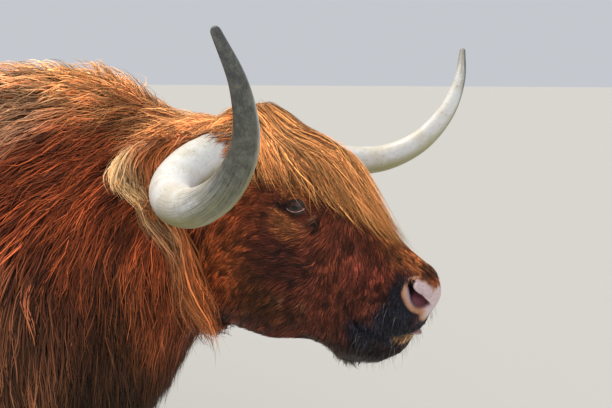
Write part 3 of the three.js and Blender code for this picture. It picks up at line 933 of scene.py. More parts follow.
def tuft_mesh(name, lines, sides, width, roots, chance, lock_shade_and_tone, unwrap, material):
    """Flat three-sided tapering tufts along the lines, all in one mesh."""
    count, rings, _ = lines.shape
    u = np.linspace(0, 1, rings)
    profile = np.minimum(1, 0.55 + 1.6 * u) * (1 - u**2.2)
    half = width[:, None] * profile / 2
    away = np.diff(lines, axis=1)
    away = unit(np.concatenate([away, away[:, -1:]], 1))
    up = unit(np.cross(sides, away))
    side = unit(np.cross(away, up))
    body = slice(0, rings - 1)
    left = lines[:, body] - side[:, body] * half[:, body, None]
    right = lines[:, body] + side[:, body] * half[:, body, None]
    crest = lines[:, body] + up[:, body] * half[:, body, None] * 0.75
    ring_points = np.stack([left, right, crest], 2).reshape(count, -1, 3)
    points = np.concatenate([ring_points, lines[:, -1:]], 1)
    each = points.shape[1]

    quads, ends = [], []
    for r in range(rings - 2):
        for s in range(3):
            e = (s + 1) % 3
            quads.append((3 * r + s, 3 * r + 3 + s, 3 * r + 3 + e, 3 * r + e))
    last = 3 * (rings - 2)
    for s in range(3):
        ends.append((last + s, each - 1, last + (s + 1) % 3))
    ends.append((0, 1, 2))
    start = (np.arange(count) * each)[:, None, None]
    quads = (np.array(quads)[None] + start).reshape(-1)
    ends = (np.array(ends)[None] + start).reshape(-1)
    loops = np.concatenate([quads, ends]).astype(np.int32)
    sizes = np.concatenate([np.full(len(quads) // 4, 4), np.full(len(ends) // 3, 3)]).astype(np.int32)

    mesh = bpy.data.meshes.new(name)
    mesh.vertices.add(count * each)
    mesh.vertices.foreach_set("co", points.astype(np.float32).ravel())
    mesh.loops.add(len(loops))
    mesh.loops.foreach_set("vertex_index", loops)
    mesh.polygons.add(len(sizes))
    mesh.polygons.foreach_set("loop_start", np.concatenate([[0], np.cumsum(sizes)[:-1]]).astype(np.int32))
    mesh.polygons.foreach_set("use_smooth", np.ones(len(sizes), bool))

    along = np.append(np.repeat(u[body], 3), 1.0)
    across = np.append(np.tile((-1.0, 1.0, 0.0), rings - 1), 0.0)
    chances = np.repeat(chance[:, None], each, 1)
    lock = [np.tile(along, (count, 1)), np.tile(across, (count, 1)), chances]
    add_attribute(mesh, "lock", np.stack(lock, -1))
    add_attribute(mesh, "root", np.repeat(roots[:, None], each, 1))
    add_attribute(mesh, "lock_shade_and_tone", np.repeat(lock_shade_and_tone[:, None], each, 1))

    at = np.stack(unwrap(roots), -1)
    at = (at - at.min(0)) / (at.max(0) - at.min(0))
    at = PATCH + at * (1 - 2 * PATCH)
    lift = np.append(np.tile((0.0, 0.0, 0.08), rings - 1), 0.0)
    patch = np.stack([across * 0.5, (along * 0.9 + lift) - 0.5], -1) * PATCH
    uv = (at[:, None] + patch[None]).reshape(-1, 2)[loops]
    mesh.uv_layers.new(name="OFBake").data.foreach_set("uv", uv.astype(np.float32).ravel())
    mesh.update(calc_edges=True)
    return linked(name, mesh, material)


UNDER_SHARE, FINE_SHARE = 0.2, 0.3  # of the tufts, in the broad under layer and in the fine top one


def coat(
    name, skin, share, count, length, lay, hang, field, lie, wide, rings, unwrap, material, clump, wave,
    room=None, drawn=grown, locks=0.1,
):
    """One piece of coat: a broad under layer, the main hair, and fine hair on top.

    Length, lay, hang and lie are read at a place on the skin: how long the hair is, how far above the skin,
    how heavy and which way. Clump draws it towards its locks' guides, and locks is how many guides there are
    for each tuft. Room, where it is given, is how far the hair may still run.
    """
    roots, normals = skin.scatter(count, share)
    layer = RNG.random(count)
    under, fine = layer < UNDER_SHARE, layer > 1 - FINE_SHARE
    low, high, middle = (RNG.uniform(*span, count) for span in ((0.15, 0.4), (0.6, 1.05), (0.3, 0.95)))
    level = np.where(under, low, np.where(fine, high, middle))
    reach = length(roots) * RNG.uniform(0.72, 1.12, count) * np.where(fine, 1.12, 1.0)
    stray = np.where(fine, 0.14, 0.06)
    lines, sides = drawn(roots, normals, field, lie, reach, lay(roots) * level, hang, rings, stray)
    guides = max(8, int(count * locks))
    guide_roots, guide_normals = skin.scatter(guides, share)
    reach = length(guide_roots) * RNG.uniform(0.8, 1.15, guides)
    level = lay(guide_roots) * RNG.uniform(0.5, 0.9, guides)
    guide_lines = drawn(guide_roots, guide_normals, field, lie, reach, level, hang, rings, 0.1 * clump)
    sway = 2.2 * wave * RNG.uniform(0.2, 1.3, guides)
    guide_lines = waved(*guide_lines, sway, RNG.uniform(0.12, 0.26, guides), 12)
    pull = np.where(under, 0.3, np.where(fine, 0.7, 1.0)) * clump * RNG.uniform(0.5, 1.1, count)
    lines, nearest = clumped(lines, roots, guide_lines, guide_roots, np.clip(pull, 0, 0.95))
    size = RNG.uniform(0.6, 1.1, count) * np.clip(length(roots), 0.08, 0.4)
    lines = waved(lines, sides, wave * RNG.uniform(0.3, 1.4, count) * np.where(fine, 1.4, 1.0), size, 11)
    if room:
        lines = trimmed(lines, room, 11)
    lines[..., 2] = np.maximum(lines[..., 2], 0.003)
    # A draw for each lock: its own tone, and painted light and shade between the locks.
    lock_shade_and_tone = RNG.normal(0, 1, guides)[nearest]
    width = wide * np.where(under, 2.1, np.where(fine, 0.55, 1.0)) * RNG.uniform(0.75, 1.25, count)
    piece = tuft_mesh(name, lines, sides, width, roots, RNG.random(count), lock_shade_and_tone, unwrap, material)
    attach(piece, "root")
    return piece


# ---------- colours ----------
def srgb(red, green, blue):
    """A colour from screen values of 0 to 255."""
    parts = np.array((red, green, blue)) / 255
    return tuple(np.where(parts <= 0.04045, parts / 12.92, ((parts + 0.055) / 1.055) ** 2.4)) + (1.0,)


CHESTNUT = srgb(140, 68, 34)
GOLD = srgb(226, 160, 96)
TOP_GOLD = srgb(236, 180, 120)
PALE_GOLD = srgb(220, 174, 136)
RED_BROWN = srgb(116, 56, 38)
LIVER = srgb(72, 34, 27)
DARK_BROWN = srgb(62, 30, 19)
PEAT = srgb(19, 11, 7)
# Black muzzle hair, its blue tint a painted sky reflection.
BLUE_BLACK = srgb(24, 29, 44)
TAN = srgb(158, 112, 84)
BROW = srgb(172, 104, 58)
# OLIVE: on the jaw, darker hair with a painted green reflection from below.
OLIVE = srgb(80, 46, 20)
CREAM = srgb(250, 214, 160)
PINK = srgb(206, 184, 188)

# Patches of colour laid over the chestnut in turn: middle, reach, colour and strength. Body places are metres
# from FEET, and head places metres in the head's axes. Both sides are alike.
BODY_PATCHES = (
    ((0.1, 0.2, 1), (0.36, 0.26, 0.19), srgb(160, 74, 38), 0.85),
    # Gold along the topline: partly the coat's own paler hair, partly painted rim light from behind.
    ((-0.9, 0, 1.28), (0.95, 0.3, 0.2), GOLD, 0.8),
    ((-0.1, 0, 1.28), (0.42, 0.36, 0.19), TOP_GOLD, 1),
    ((-0.01, 0.17, 1.17), (0.16, 0.24, 0.09), PALE_GOLD, 0.7),
    ((0.24, 0, 1.24), (0.32, 0.22, 0.145), TOP_GOLD, 1),
    ((0.35, 0.1, 1.14), (0.13, 0.18, 0.1), TOP_GOLD, 0.9),
    # Darker lower neck, chest and throat: partly darker hair, partly painted shade under the head and the
    # chest.
    ((0.22, 0, 0.67), (0.46, 0.5, 0.33), DARK_BROWN, 0.95),
    ((0.24, 0, 0.6), (0.46, 0.48, 0.34), PEAT, 1),
    ((0.3, 0.12, 0.85), (0.19, 0.26, 0.15), srgb(78, 42, 21), 0.85),
    ((-0.02, 0.26, 0.8), (0.16, 0.18, 0.19), srgb(156, 102, 72), 0.6),
    ((-0.6, 0, 0.4), (0.9, 0.6, 0.34), DARK_BROWN, 0.75),
    ((-1.26, 0, 0.5), (0.2, 0.2, 0.45), DARK_BROWN, 0.5),
    ((0.05, 0.16, 0.2), (0.2, 0.2, 0.42), DARK_BROWN, 0.7),
    ((-1.05, 0.16, 0.2), (0.2, 0.2, 0.42), DARK_BROWN, 0.7),
)
HEAD_PATCHES = (
    ((0.24, 0.08, -0.14), (0.36, 0.16, 0.32), RED_BROWN, 1),
    ((0.04, 0.12, -0.16), (0.14, 0.1, 0.22), srgb(164, 82, 44), 0.95),
    ((0.23, 0.11, -0.12), (0.07, 0.1, 0.05), LIVER, 0.85),
    # Gold on the top of the head: partly paler hair, partly painted rim light from behind.
    ((0.21, 0, 0.04), (0.28, 0.1, 0.05), GOLD, 0.7),
    ((0, 0, 0.04), (0.14, 0.13, 0.09), GOLD, 0.95),
    ((-0.02, 0.12, -0.06), (0.1, 0.06, 0.06), srgb(168, 96, 54), 0.6),
    ((-0.072, 0.275, -0.11), (0.1, 0.092, 0.13), CREAM, 1),
    ((-0.036, 0.18, -0.08), (0.09, 0.075, 0.08), srgb(212, 128, 74), 0.95),
    ((0.36, 0, 0), (0.1, 0.06, 0.04), BROW, 0.8),
    ((0.34, 0.06, -0.06), (0.05, 0.06, 0.04), srgb(132, 62, 48), 0.7),
    ((0.157, 0.1, -0.01), (0.05, 0.06, 0.026), BROW, 0.95),
    ((0.188, 0.1, -0.066), (0.05, 0.06, 0.022), BROW, 0.85),
    # Olive on the lower jaw: partly darker hair, partly a painted green reflection thrown up from the ground.
    ((0.2, 0.12, -0.22), (0.13, 0.1, 0.07), OLIVE, 0.85),
    ((0.118, 0.12, -0.215), (0.085, 0.1, 0.105), srgb(178, 94, 48), 0.95),
    ((0.25, 0.1, -0.19), (0.014, 0.06, 0.013), TAN, 0.7),
    ((0.293, 0.1, -0.17), (0.011, 0.06, 0.01), TAN, 0.5),
    ((0.184, 0.11, -0.036), (0.026, 0.05, 0.014), PEAT, 0.8),
    ((0.157, 0.1, -0.049), (0.018, 0.05, 0.009), PEAT, 0.9),
    ((0.219, 0.09, -0.032), (0.008, 0.05, 0.007), TAN, 0.9),
    ((0.227, 0.09, -0.036), (0.013, 0.05, 0.011), PEAT, 0.95),
    ((0.33, 0.05, -0.215), (0.08, 0.1, 0.05), PEAT, 0.4),
    ((0.408, 0, -0.195), (0.084, 0.13, 0.056), srgb(34, 26, 28), 1),
    ((0.45, 0, -0.175), (0.06, 0.12, 0.05), srgb(34, 26, 26), 1),
    ((0.355, 0.07, -0.13), (0.036, 0.06, 0.06), LIVER, 0.6),
    # The black muzzle, tinted blue as painted sky reflection.
    ((0.432, 0.06, -0.092), (0.054, 0.1, 0.056), BLUE_BLACK, 1),
    ((0.468, 0, -0.105), (0.032, 0.09, 0.032), BLUE_BLACK, 1),
    ((0.444, 0.04, -0.122), (0.058, 0.1, 0.034), BLUE_BLACK, 1),
    ((0.402, 0.07, -0.15), (0.048, 0.08, 0.034), BLUE_BLACK, 1),
    ((0.404, 0.06, -0.046), (0.028, 0.05, 0.036), BLUE_BLACK, 0.95),
    ((0.424, 0, -0.004), (0.02, 0.05, 0.014), PEAT, 0.8),
    ((0.46, 0.02, -0.122), (0.024, 0.1, 0.012), srgb(184, 142, 98), 1),
)
# The bare nose, as a middle and a reach for the sides of the pad and one for its front.
NOSE_PATCHES = (
    ((0.446, 0.05, -0.036), (0.042, 0.045, 0.034)),
    ((0.478, 0, -0.046), (0.042, 0.07, 0.05)),
)


def bare_nose(p):
    """1 on the bare skin of the nose, 0 where the coat grows."""
    h = both_sides(to_head(p) * MM)
    reaches = [np.linalg.norm((h - middle) / reach, axis=1) for middle, reach in NOSE_PATCHES]
    return ramp(np.min(reaches, 0), 1.0, 0.8)


class Nodes:
    """Short calls for building one node tree."""

    def __init__(self, tree):
        self.tree = tree

    def add(self, kind, inputs=None, **settings):
        node = self.tree.nodes.new(kind)
        for name, value in settings.items():
            setattr(node, name, value)
        for key, value in (inputs or {}).items():
            self.put(node.inputs[key], value)
        return node

    def put(self, socket, value):
        if isinstance(value, bpy.types.NodeSocket):
            self.tree.links.new(value, socket)
        elif value is not None:
            socket.default_value = value

    def math(self, operation, *values, clamp=False):
        inputs = dict(enumerate(values))
        return self.add("ShaderNodeMath", inputs, operation=operation, use_clamp=clamp).outputs[0]

    def vector(self, operation, *values):
        node = self.add("ShaderNodeVectorMath", dict(enumerate(values)), operation=operation)
        return node.outputs["Value" if operation in ("LENGTH", "DOT_PRODUCT", "DISTANCE") else "Vector"]

    def mix(self, factor, a, b, blend="MIX"):
        inputs = {0: factor, 6: a, 7: b}  # inputs 6 and 7 and output 2 are the colours
        return self.add("ShaderNodeMix", inputs, data_type="RGBA", blend_type=blend).outputs[2]

    def times(self, colour, gain):
        """A colour made lighter or darker by a grey or a colour."""
        if isinstance(gain, bpy.types.NodeSocket):
            gain = self.combine(gain, gain, gain)
        return self.mix(1.0, colour, gain, "MULTIPLY")

    def group(self, tree, *values):
        """A node group's outputs for the values at its inputs."""
        return self.add("ShaderNodeGroup", dict(enumerate(values)), node_tree=tree).outputs

    def object_place(self):
        return self.add("ShaderNodeTexCoord").outputs["Object"]

    def attribute(self, name):
        return self.add("ShaderNodeAttribute", attribute_name=name).outputs

    def noise(self, place, scale, detail=3.0, roughness=0.55, stretch=None, output="Fac"):
        if stretch:
            place = self.vector("MULTIPLY", place, stretch)
        inputs = {"Vector": place, "Scale": scale, "Detail": detail, "Roughness": roughness}
        return self.add("ShaderNodeTexNoise", inputs).outputs[output]

    def remap(self, value, low, high, to_low=0.0, to_high=1.0):
        inputs = {0: value, 1: low, 2: high, 3: to_low, 4: to_high}
        return self.add("ShaderNodeMapRange", inputs, interpolation_type="SMOOTHSTEP").outputs[0]

    def combine(self, x, y, z):
        return self.add("ShaderNodeCombineXYZ", {0: x, 1: y, 2: z}).outputs[0]

    def separate(self, value):
        return self.add("ShaderNodeSeparateXYZ", {0: value}).outputs

    def bump(self, height, strength, distance):
        inputs = {"Height": height, "Strength": strength, "Distance": distance}
        return self.add("ShaderNodeBump", inputs).outputs[0]


def node_group(name, inputs, outputs, kind="ShaderNodeTree"):
    """A node group with named sockets: its tree, its builder, and its input and output sockets inside."""
    tree = bpy.data.node_groups.new(name, kind)
    for way, sockets in (("INPUT", inputs), ("OUTPUT", outputs)):
        for label, socket in sockets.items():
            tree.interface.new_socket(label, in_out=way, socket_type=f"NodeSocket{socket}")
    nodes = Nodes(tree)
    return tree, nodes, nodes.add("NodeGroupInput").outputs, nodes.add("NodeGroupOutput").inputs


def patch_group():
    """How far a place is inside a soft-edged patch: 1 in the middle, 0 outside its reach."""
    sockets = {"Place": "Vector", "Middle": "Vector", "Reach": "Vector"}
    tree, nodes, given, result = node_group("patch", sockets, {"Mask": "Float"})
    away = nodes.vector("DIVIDE", nodes.vector("SUBTRACT", given["Place"], given["Middle"]), given["Reach"])
    nodes.put(result["Mask"], nodes.remap(nodes.vector("LENGTH", away), 1.1, 0.45))
    return tree


def head_place_group():
    """A place in the frame, given in metres along the head's own axes."""
    tree, nodes, given, result = node_group("head_place", {"Place": "Vector"}, {"Head Place": "Vector"})
    from_poll = nodes.vector("SUBTRACT", given["Place"], tuple(POLL))
    parts = [nodes.vector("DOT_PRODUCT", from_poll, tuple(axis)) for axis in HEAD]
    nodes.put(result["Head Place"], nodes.combine(*parts))
    return tree


def markings_group(patch, head_place):
    """The animal's colours at a place on its skin, with the painted light and shade of some of its patches,
    before light and shade along the hair.
    """
    results = {"Colour": "Color", "Bare Nose": "Float"}
    tree, nodes, given, result = node_group("coat_markings", {"Place": "Vector"}, results)
    place = given["Place"]
    stray = nodes.noise(place, 9.0, 3.0, output="Color")
    stray = nodes.vector("MULTIPLY", nodes.vector("SUBTRACT", stray, (0.5, 0.5, 0.5)), (0.07, 0.07, 0.07))
    on_body = nodes.vector("ADD", nodes.vector("SUBTRACT", place, tuple(FEET)), stray)
    drift = nodes.vector("MULTIPLY", stray, (0.22, 0.22, 0.22))
    on_head = nodes.vector("ADD", nodes.group(head_place, place)[0], drift)

    def one_side(spot):
        x, y, z = nodes.separate(spot)
        return nodes.combine(x, nodes.math("ABSOLUTE", y), z)

    colour = CHESTNUT
    on_body, on_head = one_side(on_body), one_side(on_head)
    for spot, patches in ((on_body, BODY_PATCHES), (on_head, HEAD_PATCHES)):
        for middle, reach, over, strength in patches:
            mask = nodes.group(patch, spot, middle, reach)[0]
            colour = nodes.mix(nodes.math("MULTIPLY", mask, strength), colour, over)
    bare = 0.0
    for middle, reach in NOSE_PATCHES:
        bare = nodes.math("MAXIMUM", nodes.group(patch, on_head, middle, reach)[0], bare)
    colour = nodes.mix(nodes.remap(bare, 0.12, 0.3), colour, srgb(178, 128, 98))
    speckle = nodes.noise(place, 240.0, 3.0, 0.7)
    pad = nodes.mix(nodes.remap(speckle, 0.48, 0.64, 0.0, 0.65), PINK, srgb(172, 128, 122))
    colour = nodes.mix(nodes.remap(bare, 0.48, 0.9), colour, pad)
    nodes.put(result["Bare Nose"], nodes.remap(bare, 0.25, 0.5))
    cloud = nodes.noise(place, 16.0, 4.0, 0.6)
    lighter = nodes.times(colour, (1.25, 1.18, 1.1, 1))
    colour = nodes.mix(nodes.remap(cloud, 0.35, 0.7, 0.0, 0.5), colour, lighter)
    blotch = nodes.noise(place, 27.0, 4.0, 0.65)
    shaded = nodes.times(colour, (0.55, 0.50, 0.48, 1))
    blotch = nodes.math("MULTIPLY", nodes.remap(blotch, 0.48, 0.64, 0.0, 0.75), nodes.remap(bare, 0.3, 0.1))
    nodes.put(result["Colour"], nodes.mix(blotch, colour, shaded))
    return tree


def new_material(name, values):
    """A material, the builder of its nodes, and its shader with the values that are the same all over."""
    material = bpy.data.materials.new(name)
    material.use_nodes = True
    shader = material.node_tree.nodes["Principled BSDF"]
    for label, value in values.items():
        shader.inputs[label].default_value = value
    return material, Nodes(material.node_tree), shader


def coat_material(
    name, markings, root_shade, tip_gain, tip_share, streak=1.0, tip_colour=GOLD, tip_from=0.35,
    per_lock=(0.45, 1.5),
):
    """Hair in tufts: the skin's markings, darker at the root, lighter at the tip, streaked lengthways."""
    values = {"Specular IOR Level": 0.25, "Sheen Weight": 0.05, "Sheen Roughness": 0.4}
    material, nodes, shader = new_material(name, values | {"Sheen Tint": (1.0, 0.86, 0.68, 1)})
    marked = nodes.group(markings, nodes.attribute("root")["Vector"])["Colour"]
    lock = nodes.attribute("lock")["Vector"]
    lock_shade_and_tone = nodes.attribute("lock_shade_and_tone")["Fac"]
    along, across, chance = nodes.separate(lock)
    tip = nodes.mix(tip_share, nodes.times(marked, (tip_gain, tip_gain, tip_gain, 1)), tip_colour)
    colour = nodes.mix(nodes.remap(along, tip_from, tip_from + 0.65), marked, tip)
    dark = nodes.times(marked, (root_shade, root_shade * 0.9, root_shade * 0.8, 1))
    colour = nodes.mix(nodes.remap(along, 0.45, 0.0), colour, dark)
    grain_place = nodes.vector("MULTIPLY", nodes.combine(across, along, chance), (2.2, 1.6, 91.0))
    grain = nodes.noise(grain_place, 1.6, 2.0, 0.6)
    gain = nodes.remap(grain, 0.3, 0.7, 1 - 0.5 * streak, 1 + 0.5 * streak)
    per_hair = nodes.remap(chance, 0.0, 1.0, 1 - 0.5 * streak, 1 + 0.5 * streak)
    # Each lock lighter or darker: partly its own tone, partly painted light and shade between the locks.
    per_lock = nodes.remap(lock_shade_and_tone, -2.0, 2.0, *per_lock)
    drawn_again = nodes.math("FRACT", nodes.math("MULTIPLY", chance, 7.3))
    # A few hairs much brighter: partly paler hairs, partly painted highlights.
    bright = nodes.remap(drawn_again, 0.84, 0.96, 1.0, 1 + 0.7 * streak)
    own = nodes.math("MULTIPLY", per_hair, per_lock)
    gain = nodes.math("MULTIPLY", nodes.math("MULTIPLY", gain, bright), own)
    nodes.put(shader.inputs["Base Color"], nodes.times(colour, gain))
    nodes.put(shader.inputs["Roughness"], nodes.remap(grain, 0.3, 0.7, 0.42, 0.6))
    return material


def skin_material(markings):
    """Short dense fur with the markings, the bare nose, pebbled and moist, and painted shade in the nostrils,
    the mouth and along the lids.
    """
    material, nodes, shader = new_material("skin", {"Specular IOR Level": 0.3, "Coat Roughness": 0.25})
    place = nodes.object_place()
    mark = nodes.group(markings, place)
    marked, bare = mark["Colour"], mark["Bare Nose"]
    fuzz = nodes.noise(place, 420.0, 3.0, 0.6)
    fur = nodes.noise(place, 260.0, 2.0, 0.6, stretch=(1.0, 1.0, 0.35))
    both = nodes.math("ADD", fuzz, fur)
    furred = nodes.times(marked, nodes.remap(both, 0.7, 1.3, 0.42, 0.95))
    # Painted shade in the nostrils, between the lips, along the lids' edges and in the eyes' rear corners,
    # turning pink at the front of the nostrils.
    painted_recess_shade = nodes.remap(nodes.attribute("painted_recess_shade")["Fac"], 0.25, 0.7)
    flush = nodes.remap(nodes.attribute("flush")["Fac"], 0.3, 0.95)
    inside = nodes.mix(flush, srgb(34, 20, 26), srgb(136, 84, 96))
    nodes.put(shader.inputs["Base Color"], nodes.mix(painted_recess_shade, nodes.mix(bare, furred, marked), inside))
    cells = nodes.add("ShaderNodeTexVoronoi", {"Vector": place, "Scale": 330.0}).outputs["Distance"]
    height = nodes.mix(bare, nodes.combine(both, both, both), nodes.combine(cells, cells, cells))
    nodes.put(shader.inputs["Normal"], nodes.bump(height, 0.5, 0.0015))
    nodes.put(shader.inputs["Roughness"], nodes.remap(bare, 0.0, 1.0, 0.78, 0.34))
    nodes.put(shader.inputs["Coat Weight"], nodes.remap(bare, 0.3, 1.0, 0.0, 0.35))
    return material


def horn_material():
    """Cream horn greying to a dark tip, with fine lengthways fibres, pits, flecks and wear, and painted olive
    shade on the side that faces down.
    """
    material, nodes, shader = new_material("horn", {"Coat Weight": 0.12, "Coat Roughness": 0.3})
    along, outer, upward = nodes.separate(nodes.attribute("horn_place")["Vector"])
    place = nodes.object_place()
    ring = nodes.attribute("horn_ring")["Vector"]
    fibres = nodes.noise(ring, 2.2, 4.0, 0.65, stretch=(9.0, 9.0, 3.0))
    cloud = nodes.noise(place, 22.0, 4.0, 0.6)
    pits = nodes.noise(place, 190.0, 2.0, 0.5)
    cream = nodes.mix(nodes.remap(cloud, 0.4, 0.65), srgb(224, 225, 224), srgb(206, 201, 188))
    # Painted shade: the side of the horn that faces down turns darker and olive.
    underside_shaded = nodes.mix(nodes.remap(upward, 0.1, -0.7, 0.0, 0.85), cream, srgb(152, 146, 78))
    flush = nodes.mix(nodes.remap(along, 0.1, 0.0, 0.0, 0.6), underside_shaded, srgb(196, 150, 128))
    warped = nodes.math("ADD", along, nodes.remap(fibres, 0.3, 0.7, -0.06, 0.06))
    warped = nodes.math("ADD", warped, nodes.remap(outer, -0.7, 0.5, -0.34, 0.0))
    grey = nodes.mix(nodes.remap(warped, 0.50, 0.74), flush, srgb(70, 72, 62))
    dark = nodes.mix(nodes.remap(warped, 0.72, 0.95), grey, srgb(60, 62, 66))
    darker = nodes.times(dark, (0.5, 0.47, 0.42, 1))
    streaked = nodes.mix(nodes.remap(fibres, 0.56, 0.72, 0.0, 0.5), dark, darker)
    pitted = nodes.mix(nodes.remap(pits, 0.60, 0.76, 0.0, 0.45), streaked, srgb(104, 94, 80))
    flecks = nodes.noise(ring, 3.0, 5.0, 0.8, stretch=(14.0, 14.0, 16.0))
    flecked = nodes.remap(warped, 0.45, 0.65)
    flecks = nodes.math("MULTIPLY", nodes.remap(flecks, 0.52, 0.68, 0.0, 0.6), flecked)
    worn = nodes.noise(place, 75.0, 5.0, 0.75)
    worn = nodes.math("MULTIPLY", nodes.remap(worn, 0.40, 0.66, 0.0, 0.42), nodes.remap(warped, 0.45, 0.62))
    weathered = nodes.mix(worn, nodes.mix(flecks, pitted, srgb(168, 166, 150)), srgb(140, 142, 128))
    nodes.put(shader.inputs["Base Color"], weathered)
    nodes.put(shader.inputs["Roughness"], nodes.remap(fibres, 0.3, 0.7, 0.34, 0.55))
    height = nodes.math("ADD", fibres, nodes.math("MULTIPLY", pits, 0.4))
    nodes.put(shader.inputs["Normal"], nodes.bump(height, 0.35, 0.0015))
    return material


# ---------- horns, eyes and hooves ----------
HORN_LINE = np.array((
    (16, 40, -8), (13, 102, -29), (11, 184, -57), (38, 265, -69), (89, 332, -53),
    (146, 379, -9), (185, 411, 61), (192, 441, 142), (167, 482, 213), (121, 528, 270),
), float)  # in the head's axes, l outwards
HORN_TILT = math.radians(-1.33)
HORN_BASE, HORN_TIP = 0.079, 0.012
HORN_STEPS, HORN_SIDES = 120, 48
HORN_FUR = 700  # tufts at the foot of each horn


def read_along(spots, shares, values):
    """Rows of three numbers, read at spots between the shares that they belong to."""
    return np.stack([np.interp(spots, shares, values[:, i]) for i in range(3)], -1)


def smooth_line(points, count):
    """Evenly spaced points on a smooth line through the given ones."""
    points = np.concatenate([[2 * points[0] - points[1]], points, [2 * points[-1] - points[-2]]])
    fine = []
    for i in range(1, len(points) - 2):
        a, b, c, d = points[i - 1 : i + 3]
        for u in np.linspace(0, 1, 24, endpoint=False):
            bend = (2 * a - 5 * b + 4 * c - d) * u**2 + (3 * b - a - 3 * c + d) * u**3
            fine.append(0.5 * (2 * b + (c - a) * u + bend))
    fine = np.array(fine + [points[-2]])
    run = np.concatenate([[0], np.cumsum(np.linalg.norm(np.diff(fine, axis=0), axis=1))])
    return read_along(np.linspace(0, run[-1], count), run, fine)


def horn_run(side):
    """Along a horn, closer towards its tip: shares, places, ways, two axes across it and half widths."""
    cosine, sine = math.cos(HORN_TILT), math.sin(HORN_TILT)
    tilt = np.array(((1, 0, 0), (0, cosine, -sine), (0, sine, cosine)))
    even = smooth_line(from_head((HORN_LINE * (1, side, 1)) @ tilt.T), 400)
    even_shares = np.linspace(0, 1, len(even))
    shares = 1 - (1 - np.linspace(0, 1, HORN_STEPS)) ** 1.7
    line = read_along(shares, even_shares, even)
    ways = unit(read_along(shares, even_shares, np.gradient(even, axis=0)))
    ups = [unit(np.cross(ways[0], AXIS_N))]
    for way in ways[1:]:
        ups.append(unit(ups[-1] - way * (ups[-1] @ way)))
    radii = (HORN_TIP + (HORN_BASE - HORN_TIP) * (1 - shares**1.95)) / 2
    rings = 0.012 * np.sin(shares * 150) + 0.008 * np.sin(shares * 67 + 1)
    radii *= 1 + rings * np.maximum(0.0, 1 - shares * 2.6)
    radii *= np.sqrt(np.maximum(0.004, 1 - np.maximum(0.0, (shares - 0.991) / 0.009) ** 2))
    return shares, line, ways, np.cross(ways, ups), np.array(ups), radii


def make_horn(side_name, side):
    """A horn's sheath, with its length, its facing and its turn written on its points for the material."""
    rings, marks, turns = [], [], []
    run = horn_run(side)
    for u, place, _, across, up, radius in zip(*run):
        facings = [(math.cos(a), math.sin(a)) for a in turn(HORN_SIDES)]
        rings.append([place + radius * (c * across + s * up) for c, s in facings])
        for c, s in facings:
            facing = c * across + s * up
            marks.append((u, facing @ AXIS_L * side, facing[2]))
            turns.append((c, s, u * 2.2))
    points, faces = outward(*ring_surface(rings, end=run[1][-1] + run[2][-1] * 0.0003))
    piece = mesh_object(f"horn_sheath_{side_name}", points, faces, horn_material())
    add_attribute(piece.data, "horn_place", [*marks, (0, 0, 0), (1, 0, 1)])
    add_attribute(piece.data, "horn_ring", [*turns, (0, 0, 0), (0, 0, 2.2)])
    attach(piece, "root")
    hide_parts(f"horn_{side_name}")


def make_horn_fur(side_name, side, material):
    """Short hair that creeps out along the foot of a horn."""
    shares, line, ways, across, ups, radii = horn_run(side)
    lifts = np.array((-0.002, 0.002, 0.004, 0.005, 0.004))
    steps = np.linspace(0, 1, len(lifts))
    first = 0.035 + 0.075 * RNG.random(HORN_FUR) ** 1.3
    reach = RNG.uniform(0.03, 0.07, HORN_FUR)
    spots = first[:, None] + reach[:, None] * steps
    angle = RNG.uniform(0, 2 * math.pi, HORN_FUR)[:, None] + RNG.normal(0, 0.25, (HORN_FUR, 1)) * steps
    place, way, wide_axis, high_axis = (read_along(spots, shares, v) for v in (line, ways, across, ups))
    away = unit(np.cos(angle)[..., None] * wide_axis + np.sin(angle)[..., None] * high_axis)
    lift = lifts * RNG.uniform(0.5, 1.5, (HORN_FUR, 1))
    lines = place + away * (np.interp(spots, shares, radii) + lift)[..., None]
    width = RNG.uniform(0.0016, 0.0032, HORN_FUR)
    chance, lock_shade_and_tone = RNG.random(HORN_FUR), RNG.normal(0, 0.6, HORN_FUR)
    name, sides = f"horn_fur_{side_name}", np.cross(way, away)
    piece = tuft_mesh(name, lines, sides, width, lines[:, 0], chance, lock_shade_and_tone, head_unwrap, material)
    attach(piece, "root")


def eye_axes(side):
    """An eye's middle, and its ways out, along its lids and up."""
    mirror = np.array((1, side, 1))
    return from_head(EYE_MIDDLE * mirror), *((axis * mirror) @ HEAD for axis in (EYE_OUT, EYE_ALONG, EYE_UP))


def eye_material(side_name, side):
    """A dark wet eye: long level pupil, brown iris and a dim rim."""
    values = {"Roughness": 0.2, "Coat Weight": 0.32, "Coat Roughness": 0.12, "Specular IOR Level": 0.2}
    material, nodes, shader = new_material(f"eye_{side_name}", values)
    middle, _, along, up = eye_axes(side)
    away = nodes.vector("SUBTRACT", nodes.object_place(), tuple(middle))
    flat = nodes.combine(*(nodes.vector("DOT_PRODUCT", away, tuple(axis / MM)) for axis in (along, up)), 0.0)
    pupil = nodes.vector("LENGTH", nodes.vector("DIVIDE", flat, (7.5, 4.2, 1.0)))
    iris = nodes.vector("LENGTH", nodes.vector("DIVIDE", flat, (14.0, 12.0, 1.0)))
    spokes = nodes.noise(away, 1.0, 3.0, stretch=(900.0, 900.0, 900.0))
    brown = nodes.mix(spokes, srgb(36, 25, 22), srgb(84, 56, 44))
    colour = nodes.mix(nodes.remap(pupil, 0.8, 1.05), srgb(12, 13, 20), brown)
    colour = nodes.mix(nodes.remap(iris, 0.85, 1.1), colour, srgb(64, 52, 50))
    nodes.put(shader.inputs["Base Color"], colour)
    return material


